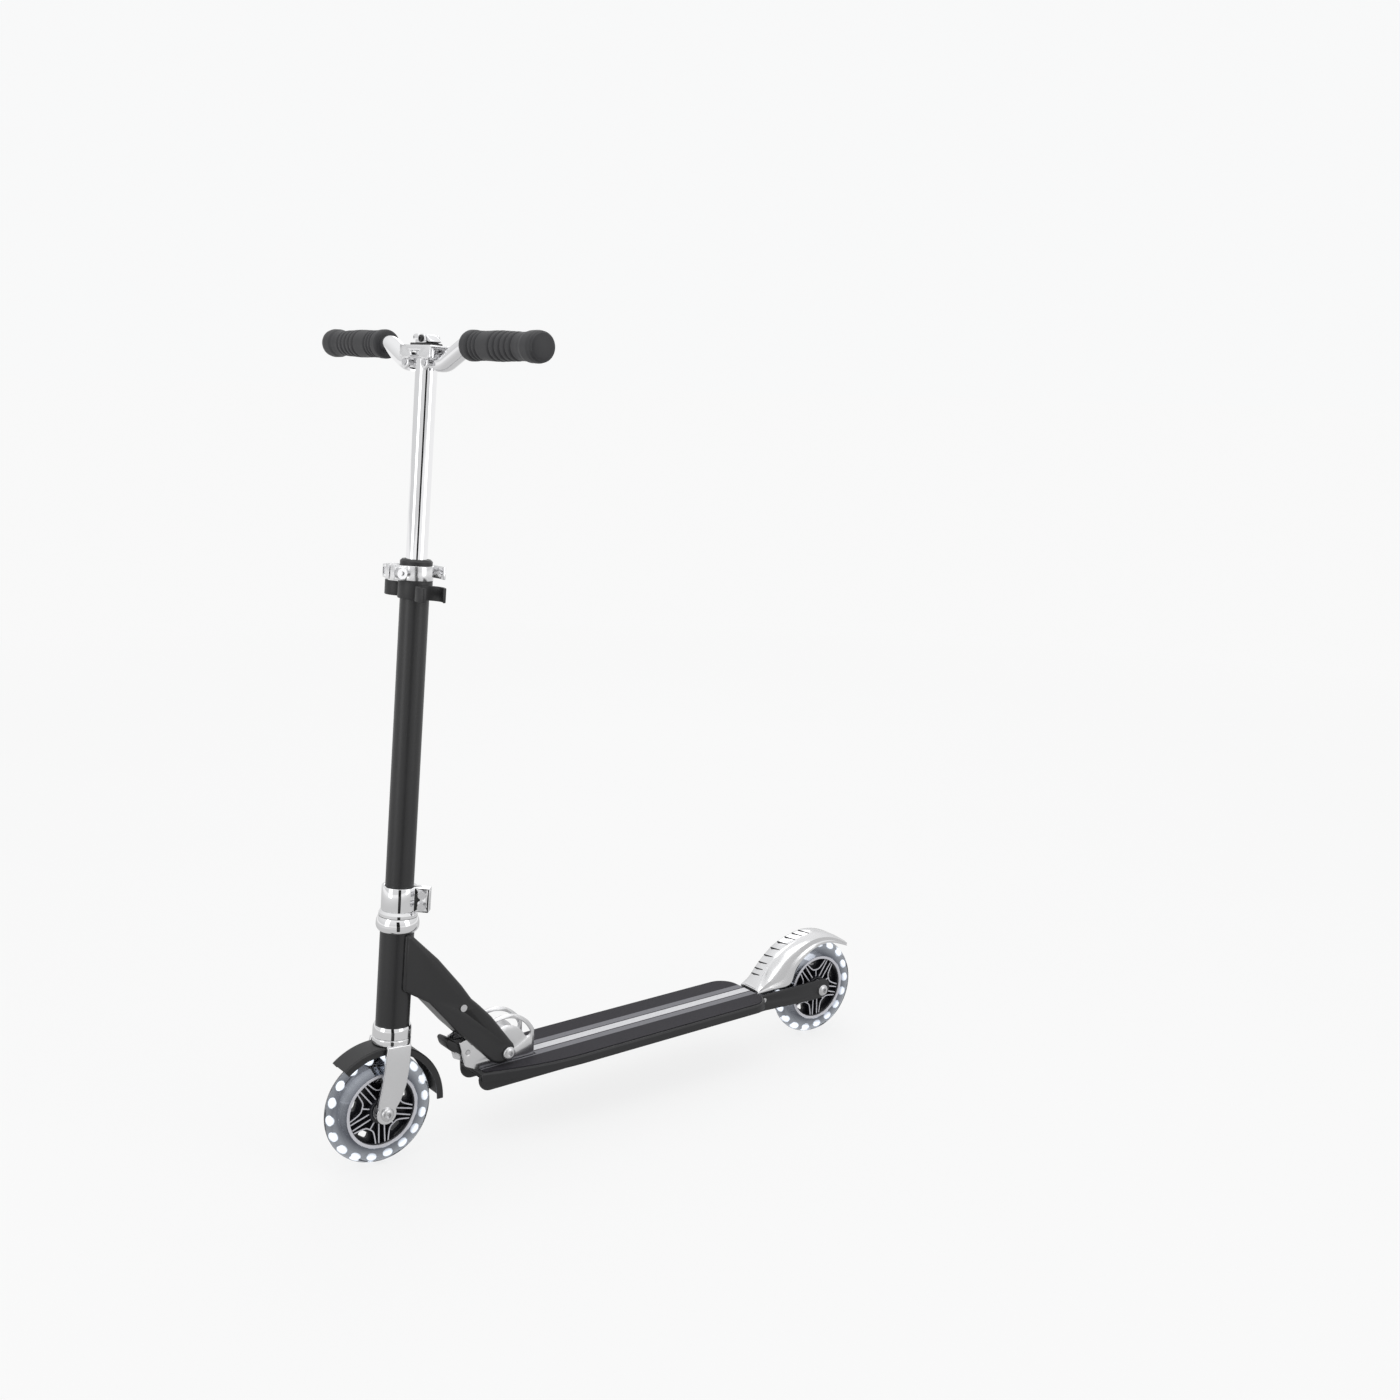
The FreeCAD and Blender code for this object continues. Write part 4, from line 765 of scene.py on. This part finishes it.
def wheel_looks(side, axle, clear):
    """Hub with raised pale lines, lamps in the clear tyre, and shielded bearings."""
    body = side + "_wheel"
    place = Matrix.Translation(axle)
    half = WHEEL_HALF / MM
    rim = lathe(rounded([(RIM_INNER, -RIM_HALF, 0.6), (RIM_INNER + 1.8, -half + 0.6, 0.6),
                         (RIM_OUTER - 0.1, -half + 0.6, 0.5), (RIM_OUTER - 0.1, half - 0.6, 0.5),
                         (RIM_INNER + 1.8, half - 0.6, 0.6), (RIM_INNER, RIM_HALF, 0.6)]), closed=True)
    core = lathe(rounded([(BEARING_RADIUS, -half, 0.3), (CORE_RADIUS, -half, 0.8),
                          (CORE_RADIUS + 1.2, -BEARING_WIDTH, 1), (CORE_RADIUS + 1.2, BEARING_WIDTH, 1),
                          (CORE_RADIUS, half, 0.8), (BEARING_RADIUS, half, 0.3)]), closed=True)
    ribs = grown(edges_object("ribs", spoke_lines()), RIBS, Rib_Width=0.0022, Rib_Depth=0.0170,
                 Edge_Radius=0.0004, Count=SPOKE_SETS, Material=finishes["hub"])
    ribs.data.transform(UPRIGHT)
    parts = [plain_object("rim", rim), plain_object("core", core), hub_web(), ribs]
    hub = joined(side + "_hub_casting", parts)
    hub.data.transform(place)
    place_piece(smooth(hub), body, "hub", side + "_hub")

    trim = grown(edges_object("trim", spoke_lines()), RIBS, Rib_Width=0.0014, Rib_Depth=0.0182,
                 Edge_Radius=0.0003, Count=SPOKE_SETS, Material=pale_trim)
    trim.data.transform(UPRIGHT)
    rings = []
    for face in (-1, 1):
        edge = face * (half - 0.4)
        rings.append(plain_object("ring", lathe(rounded([
            (RIM_INNER + 0.7, edge - face * 0.8, 0.3), (RIM_INNER + 1.0, edge + face * 0.35, 0.3),
            (RIM_OUTER - 0.4, edge + face * 0.35, 0.3),
            (RIM_OUTER - 0.2, edge - face * 0.8, 0.3)]), closed=True)))
        rings.append(plain_object("ring", lathe(rounded([
            (CORE_RADIUS - 1.4, edge - face * 0.2, 0.2), (CORE_RADIUS - 1.2, edge + face * 0.35, 0.2),
            (CORE_RADIUS - 0.3, edge + face * 0.35, 0.2),
            (CORE_RADIUS - 0.1, edge - face * 0.2, 0.2)]), closed=True)))
    lines = joined(side + "_hub_trim", [trim] + rings)
    lines.data.transform(place)
    place_piece(smooth(lines), body, "hub", finish=pale_trim)

    lamps = grown(edges_object("lamps", [[(0, 0, 0), (MM, 0, 0)]]), LAMPS, Count=LAMP_COUNT,
                  Ring_Radius=LAMP_RING * MM, Lamp_Size=LAMP_SIZE, Material=finishes["lamp"])
    lamps.data.transform(place @ UPRIGHT)
    lamps.name = side + "_lamps"
    place_piece(smooth(lamps), body, "lamp", side + "_led_ring")

    section = rounded([(RIM_OUTER, -half + 0.2, 0.4), (TYRE_SIDE, -half, 2), (TYRE_SHOULDER, -half + 1.6, 4),
                       (WHEEL_RADIUS / MM, 0, 26), (TYRE_SHOULDER, half - 1.6, 4), (TYRE_SIDE, half, 2),
                       (RIM_OUTER, half - 0.2, 0.4)], steps=8)
    tyre = plain_object(side + "_clear_tyre", lathe(section, steps=160, closed=True), place)
    place_piece(smooth(tyre), body, "tyre", side + "_tyre", finish=clear)

    races = []
    for face in (-1, 1):
        outer, inner = face * half, face * (half - BEARING_WIDTH)
        shield = outer - face * 0.5
        section = rounded([
            (4.02, outer, 0.3), (6.0, outer, 0.3), (6.3, shield, 0.2), (9.2, shield, 0.2),
            (9.5, outer, 0.3), (10.98, outer, 0.4), (10.98, inner, 0.4), (4.02, inner, 0.3)])
        races.append(plain_object("race", lathe(section, steps=64, closed=True)))
    bearings = joined(side + "_shielded_bearings", races)
    bearings.data.transform(place)
    place_piece(smooth(bearings), body, "bearing_steel", side + "_bearings")


wheel_looks("front", FRONT_AXLE, finishes["tyre"])
wheel_looks("rear", REAR_AXLE, rear_tyre_clear)


# ---------------------------------------------------------------- grips
GRIP_SHAPE = [(0, 12.4), (1.6, 14.4), (4, 15.0), (10, 14.9), (16, 14.2), (30, 14.0), (58, 14.5), (84, 13.8),
              (100, 13.2), (108, 13.6), (115, 14.8), (124, 15.0), (129, 14.3), (131.8, 12.6), (133, 10.0)]
GRIP_GROOVES = (15.5, 22.5, 29.5, 56, 65.5, 75, 84.5, 94)
GROOVE_DEPTH = 2.0
GROOVE_WIDTH = 1.3
GRIP_BORE = 9.55
GRIP_END_WALL = 2.5
GRIP_STEPS = 240


def grip_radius(along):
    """Radius of the moulded grip at a distance from its inner end, in millimetres."""
    for (a, low), (b, high) in zip(GRIP_SHAPE, GRIP_SHAPE[1:]):
        if along <= b:
            part = (along - a) / (b - a)
            base = low + (high - low) * (0.5 - 0.5 * math.cos(math.pi * part))
            break
    return base - sum(GROOVE_DEPTH * math.exp(-((along - groove) / GROOVE_WIDTH) ** 2)
                      for groove in GRIP_GROOVES)


def grip_looks(side, sign):
    """Rubber grip with a flared inner end, two sets of grooves and a round outer end."""
    low, high = steer_box(side + "_grip")
    start = low.y if sign > 0 else high.y
    length = (high.y - low.y) / MM
    drawn_length = GRIP_SHAPE[-1][0]
    points = [(GRIP_BORE, 0)]
    for n in range(GRIP_STEPS + 1):
        part = n / GRIP_STEPS
        points.append((grip_radius(drawn_length * part), length * part))
    points += [(0, length), (0, length - GRIP_END_WALL), (GRIP_BORE, length - GRIP_END_WALL)]
    rubber = lathe([(radius * MM, start + sign * along * MM) for radius, along in points], closed=True)
    place = STEER @ Matrix.Translation((0, 0, (low.z + high.z) / 2))
    grip = smooth(plain_object(side + "_grooved_grip", rubber, place), 50)
    place_piece(grip, side + "_handle", "grip_rubber", side + "_grip")


grip_looks("left", 1)
grip_looks("right", -1)


# ---------------------------------------------------------------- handle lock
PAD_HALF = 9
PAD_THICKNESS = 2.4
LUG_STARTS = (-9.0, 6.6)
LUG_THICKNESS = 2.4
LUG_HEIGHT = 11
LOCK_BOLT_Y = 3.5
LOCK_BOLT_HEIGHT = 6.5
TURN_ACROSS = Matrix.Rotation(math.radians(-90), 4, "Z")


def lock_looks():
    """Black pad on the head, two bright lugs with round tops, and the dark bolt through them."""
    base = steer_box("lock_base")[0].z / MM
    pad_top, lug_top = base + PAD_THICKNESS, base + LUG_HEIGHT
    bolt_z = base + LOCK_BOLT_HEIGHT
    pad_outline = rounded([(-PAD_HALF, base, 0.3), (PAD_HALF, base, 0.3),
                           (PAD_HALF, pad_top, 0.8), (-PAD_HALF, pad_top, 0.8)])
    pad = plain_object("lock_pad", slab(pad_outline, -20 * MM, 14 * MM), STEER)
    place_piece(bevelled(pad, 0.3), "bar", "black_plastic", "lock_base")
    sheets = []
    for start in LUG_STARTS:
        outline = [(-9.5, pad_top), (9.5, pad_top), (9.5, bolt_z - 1.5, 2), (7.6, lug_top, 3), (-0.6, lug_top, 3),
                   (-3.5, bolt_z, 2), (-9.5, bolt_z - 1.0, 2)]
        plate = slab(rounded(outline), start * MM, (start + LUG_THICKNESS) * MM)
        sheet = plain_object("lug", plate, TURN_ACROSS)
        # A mirror across Y puts the low side of each lug at the right; the faces turn with it.
        sheet.data.transform(Matrix.Diagonal((1, -1, 1, 1)))
        sheet.data.flip_normals()
        sheets.append(sheet)
    lugs = bevelled(joined("lock_lugs", sheets), 0.4)
    lugs.data.transform(STEER)
    place_piece(lugs, "bar", "silver")
    across_turn = Matrix.Translation((0, LOCK_BOLT_Y * MM, bolt_z * MM)) @ TURN_ACROSS
    bolt = lathe(rounded([(0, -10.4), (2.1, -10.4, 0.3), (2.1, 9), (3.6, 9, 0.3), (3.6, 11.2, 0.7),
                          (1.7, 11.2, 0.2), (1.5, 10.2), (0, 10.2)], closed=False), steps=40)
    place_piece(smooth(plain_object("lock_bolt", bolt, STEER @ across_turn)), "bar", "black_plastic")


lock_looks()


# ---------------------------------------------------------------- fork
CROWN = steer_box("fork")[1].z / MM
LEG_IN = 17.5
LEG_OUT = steer_box("fork")[1].y / MM
LEG_END_RADIUS = 11.5
LEG_END_STEPS = 24
CROWN_LOW = 52
CROWN_RADIUS = 20.6
WHEEL_ROOM_RADIUS = 73.2
WHEEL_ROOM_HALF = 16.4
fork_axle = (STEER_BACK @ FRONT_AXLE) / MM


def fork_looks():
    """Round plated crown over the wheel, with a flat satin leg on each side."""
    cup_section = rounded([(0, CROWN_LOW), (CROWN_RADIUS, CROWN_LOW, 1.2), (CROWN_RADIUS, CROWN, 1.6),
                           (0, CROWN)], closed=False)
    cup = plain_object("fork_crown", lathe(cup_section), UPRIGHT)
    gap_section = rounded([(0, -WHEEL_ROOM_HALF), (WHEEL_ROOM_RADIUS, -WHEEL_ROOM_HALF),
                           (WHEEL_ROOM_RADIUS, WHEEL_ROOM_HALF), (0, WHEEL_ROOM_HALF)], closed=False)
    gap = plain_object("gap", lathe(gap_section, steps=160), Matrix.Translation(fork_axle * MM))
    clearance = cup.modifiers.new("gap", "BOOLEAN")
    clearance.operation = "DIFFERENCE"
    clearance.object = gap
    apply_modifiers(cup)
    bpy.data.objects.remove(gap)
    cup.data.transform(STEER)
    place_piece(smooth(cup), "steering", "silver", finish=finishes["plated"])

    end = []
    for n in range(LEG_END_STEPS + 1):
        turn = math.radians(30 - 232 * n / LEG_END_STEPS)
        end.append((fork_axle.x + LEG_END_RADIUS * math.cos(turn), fork_axle.z + LEG_END_RADIUS * math.sin(turn)))
    leg_top = CROWN - 5.5
    outline = [(-12.6, leg_top, 1.5), (14.6, leg_top, 1.5), (16.6, 62, 8), (17.4, 48, 12), (19.6, 30, 14),
               (22.6, 12, 6)] + end + [(-3.5, 12, 8), (-9.0, 28, 12), (-11.6, 46, 12)]
    legs = []
    for side in (-1, 1):
        low, high = sorted((side * LEG_IN * MM, side * LEG_OUT * MM))
        legs.append(plain_object("leg", slab(rounded(outline), low, high)))
    pair = joined("fork_legs", legs)
    bevelled(pair, 0.9, 3)
    pair.data.transform(STEER)
    place_piece(pair, "steering", "silver", "fork")


fork_looks()


# ---------------------------------------------------------------- mudguard
# Crest and lower edge of the guard as (x, z) millimetres; its section as parts of half its width and of its drop.
GUARD_TOP = [(-206, 82.5), (-216, 95), (-229, 110), (-252, 127),
             (-280, 136), (-306, 138), (-332, 131), (-356, 117)]
GUARD_EDGE = [(-206, 79.5), (-232, 79.5), (-258, 80.5), (-268, 99),
              (-283, 112), (-303, 121), (-326, 122), (-354.5, 112)]
GUARD_SECTION = [(0, 0), (0.50, 0), (0.66, 0.05), (0.86, 0.22), (0.965, 0.34),
                 (0.93, 0.62), (0.93, 0.70), (1.0, 0.80), (1.0, 1.0)]
GUARD_STEPS = 8
GUARD_SHEET = 1.6 * MM
STRAP_OUTLINE = ((-214, 75), (-206.6, 75), (-206.6, 84), (-214, 90))
STRAP_HALF = 9.9 * MM
RIDGE_COUNT = 9
RIDGE_START = 9
RIDGE_SPACING = 3.4
RIDGE_HALF = 8.2
RIDGE_SLANT = 1.6


def along_curve(points, steps):
    """A smooth curve through points, with the same number of steps between each two."""
    line = []
    for n in range(len(points) - 1):
        near = [Vector(points[max(0, min(len(points) - 1, n + k))]) for k in (-1, 0, 1, 2)]
        for step in range(steps):
            t = step / steps
            line.append(0.5 * ((2 * near[1]) + (near[2] - near[0]) * t
                               + (2 * near[0] - 5 * near[1] + 4 * near[2] - near[3]) * t ** 2
                               + (3 * near[1] - near[0] - 3 * near[2] + near[3]) * t ** 3))
    line.append(Vector(points[-1]))
    return line


def guard_point(top, edge, across_part, down_part):
    """A point of the guard's skin: across it from the middle, and down from its crest to its edge."""
    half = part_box("brake_mudguard")[1].y / MM
    place = top + (edge - top) * down_part
    return Vector((place.x, across_part * half, place.y)) * MM


def mudguard_looks():
    """Pressed mudguard with rounded shoulders, a creased skirt and short dark ridges across its back, their black
    a painted shadow of its stamped grooves.
    """
    tops = along_curve(GUARD_TOP, GUARD_STEPS)
    edges = along_curve(GUARD_EDGE, GUARD_STEPS)
    section = [(-a, d) for a, d in reversed(GUARD_SECTION[1:])] + GUARD_SECTION
    form = bmesh.new()
    rows = []
    for top, edge in zip(tops, edges):
        rows.append([form.verts.new(guard_point(top, edge, part, down)) for part, down in section])
    for first, second in zip(rows, rows[1:]):
        for n in range(len(section) - 1):
            form.faces.new((first[n], first[n + 1], second[n + 1], second[n]))
    skin = plain_object("mudguard_skin", form)
    thick = skin.modifiers.new("thickness", "SOLIDIFY")
    thick.thickness = GUARD_SHEET
    thick.offset = -1
    apply_modifiers(skin)
    barrel_section = rounded([(3.1, -10), (5.5, -10, 0.5), (5.5, 10, 0.5), (3.1, 10)])
    barrel = plain_object("barrel", lathe(barrel_section, steps=48, closed=True),
                          Matrix.Translation(centre_of("brake_pin")))
    strap = plain_object("strap", slab([(x * MM, z * MM) for x, z in STRAP_OUTLINE], -STRAP_HALF, STRAP_HALF))
    guard = joined("mudguard_shell", [skin, barrel, strap])
    place_piece(smooth(guard, 34), "brake", "silver", "brake_mudguard")

    # The ridges are thin black plastic beads on the silver guard: painted shade for the shadows in the stamped
    # grooves across its back.
    ridges = []
    for n in range(RIDGE_COUNT):
        spot = RIDGE_START + RIDGE_SPACING * n
        before = int(spot)
        top = tops[before].lerp(tops[before + 1], spot - before)
        ridges.append([Vector((top.x - RIDGE_SLANT * side, RIDGE_HALF * side, top.y)) * MM
                       for side in (-1, -0.33, 0.33, 1)])
    beads = grown(edges_object("mudguard_groove_shade_beads", ridges), BEADS, Bead_Radius=0.0008, Sides=10,
                  Material=finishes["black_plastic"])
    place_piece(smooth(beads), "brake", "silver", finish=finishes["black_plastic"])


mudguard_looks()


# ---------------------------------------------------------------- rounded edges on the made parts
EDGE_WIDTHS = {"fold_bracket": 0.8, "t_head": 1.6, "lock_lever": 0.6, "clamp_band": 0.5, "clamp_lever": 0.6,
               "collar_clamp": 0.5, "release_lever": 1.0, "deck_beam": 1.2, "down_tube": 1.6, "clip_sleeve": 0.6}
for node_name, width in EDGE_WIDTHS.items():
    softened(node_name, width)


# ---------------------------------------------------------------- studio
def area_light(name, place, aim, width, height, power):
    data = bpy.data.lights.new(name, "AREA")
    data.shape = "RECTANGLE"
    data.size = width
    data.size_y = height
    data.energy = power
    light = bpy.data.objects.new(name, data)
    scene.collection.objects.link(light)
    light.location = place
    light.rotation_mode = "QUATERNION"
    light.rotation_quaternion = (Vector(aim) - Vector(place)).to_track_quat("-Z", "Y")
    light.visible_camera = False


SKY_LOW, SKY_HIGH, SKY_SEEN = 0.66, 0.92, 0.947
FLOOR_RADIUS = 40
FADE_START, FADE_LENGTH = 0.9, 2.6
LIGHTS = (  # name, place, aim, width, height, power
    ("softbox_left", (2.4, 0.2, 0.9), (0.15, 0, 0.45), 0.9, 2.2, 8),
    ("softbox_right", (-1.0, 2.4, 1.0), (0.15, 0, 0.45), 1.2, 2.2, 9),
    ("overhead", (0.2, 0.2, 2.6), (0.1, 0, 0.4), 1.8, 1.8, 9),
    ("rim", (-1.4, -1.8, 1.6), (0, 0, 0.4), 1.0, 1.6, 6),
)


def studio():
    """Pale sky and floor, four softboxes, and two dark cards seen only in reflections."""
    world = bpy.data.worlds.new("Studio")
    scene.world = world
    world.use_nodes = True
    tree = world.node_tree
    sky = tree.nodes["Background"]
    split = tree.nodes.new("ShaderNodeSeparateXYZ")
    tree.links.new(tree.nodes.new("ShaderNodeTexCoord").outputs["Generated"], split.inputs[0])
    rise = tree.nodes.new("ShaderNodeMapRange")
    rise.inputs["From Min"].default_value = -0.1
    rise.inputs["From Max"].default_value = 0.8
    rise.inputs["To Min"].default_value = SKY_LOW
    rise.inputs["To Max"].default_value = SKY_HIGH
    tree.links.new(split.outputs["Z"], rise.inputs["Value"])
    seen = tree.nodes.new("ShaderNodeMix")
    tree.links.new(tree.nodes.new("ShaderNodeLightPath").outputs["Is Camera Ray"], seen.inputs["Factor"])
    tree.links.new(rise.outputs["Result"], seen.inputs[2])
    seen.inputs[3].default_value = SKY_SEEN
    tree.links.new(seen.outputs[0], sky.inputs["Strength"])
    sky.inputs["Color"].default_value = (0.995, 0.998, 1.0, 1)

    mesh = bpy.data.meshes.new("floor")
    form = bmesh.new()
    bmesh.ops.create_circle(form, cap_ends=True, radius=FLOOR_RADIUS, segments=96)
    form.to_mesh(mesh)
    form.free()
    floor = bpy.data.objects.new("floor", mesh)
    scene.collection.objects.link(floor)
    finish = Finish("Pale Floor", Roughness=0.9, Emission_Color=(1, 1, 1, 1))
    finish.shader.inputs["Specular IOR Level"].default_value = 0.0
    tree = finish.tree
    cloud = finish.group(GRAIN, Size=0.5, Depth=1.0)["Mask"]
    away = tree.nodes.new("ShaderNodeVectorMath")
    away.operation = "LENGTH"
    tree.links.new(object_place(tree), away.inputs[0])
    beyond = math_node(tree, "SUBTRACT", away.outputs["Value"], FADE_START)
    far = math_node(tree, "DIVIDE", beyond, FADE_LENGTH, clamp=True)
    near_colour = finish.mix(cloud, (0.145, 0.145, 0.145), (0.155, 0.155, 0.155))
    finish.feed("Base Color", finish.mix(far, near_colour, (0.0, 0.0, 0.0)))
    shown = tree.nodes.new("ShaderNodeMix")
    tree.links.new(tree.nodes.new("ShaderNodeLightPath").outputs["Is Camera Ray"], shown.inputs["Factor"])
    tree.links.new(finish.between(far, 0.42, 0.92), shown.inputs[2])
    tree.links.new(finish.between(far, 0.785, 0.945), shown.inputs[3])
    finish.feed("Emission Strength", shown.outputs[0])
    mesh.materials.append(finish.material)

    for light in LIGHTS:
        area_light(*light)
    dark_card("upright_card", [(1.06, 2.86, -0.3), (1.86, 2.46, -0.3), (1.86, 2.46, 2.2), (1.06, 2.86, 2.2)])
    dark_card("floor_card", [(0.34, 0.20, 0.004), (0.40, 0.17, 0.004),
                             (1.80, 2.42, 0.004), (1.02, 2.80, 0.004)])


def dark_card(name, corners):
    """A black card that is seen only in polished metal, where it draws the dark band."""
    form = bmesh.new()
    form.faces.new([form.verts.new(corner) for corner in corners])
    card = plain_object(name, form)
    black = Finish(name + "_black", Base_Color=(0.004, 0.004, 0.004, 1), Roughness=1.0)
    card.data.materials.append(black.material)
    card.visible_camera = False
    card.visible_shadow = False
    card.visible_diffuse = False


CAMERA_PLACE = (1.060, 1.501, 0.858)
CAMERA_RIGHT = (-0.78976, 0.61301, 0.02247)
CAMERA_UP = (-0.10751, -0.17439, 0.97879)
CAMERA_LENS = 42.5


def camera():
    """Three-quarter view from the rider's left and ahead, about level with the handlebar."""
    data = bpy.data.cameras.new("camera")
    data.sensor_width = 36
    data.lens = CAMERA_LENS
    data.clip_start = 0.05
    data.clip_end = 100
    eye = bpy.data.objects.new("camera", data)
    scene.collection.objects.link(eye)
    eye.location = CAMERA_PLACE
    right = Vector(CAMERA_RIGHT)
    upward = Vector(CAMERA_UP)
    back = right.cross(upward)
    turn = Matrix((right, upward, back)).transposed()
    eye.rotation_mode = "QUATERNION"
    eye.rotation_quaternion = turn.to_quaternion()
    scene.camera = eye


studio()
camera()
scene.view_settings.view_transform = "Standard"
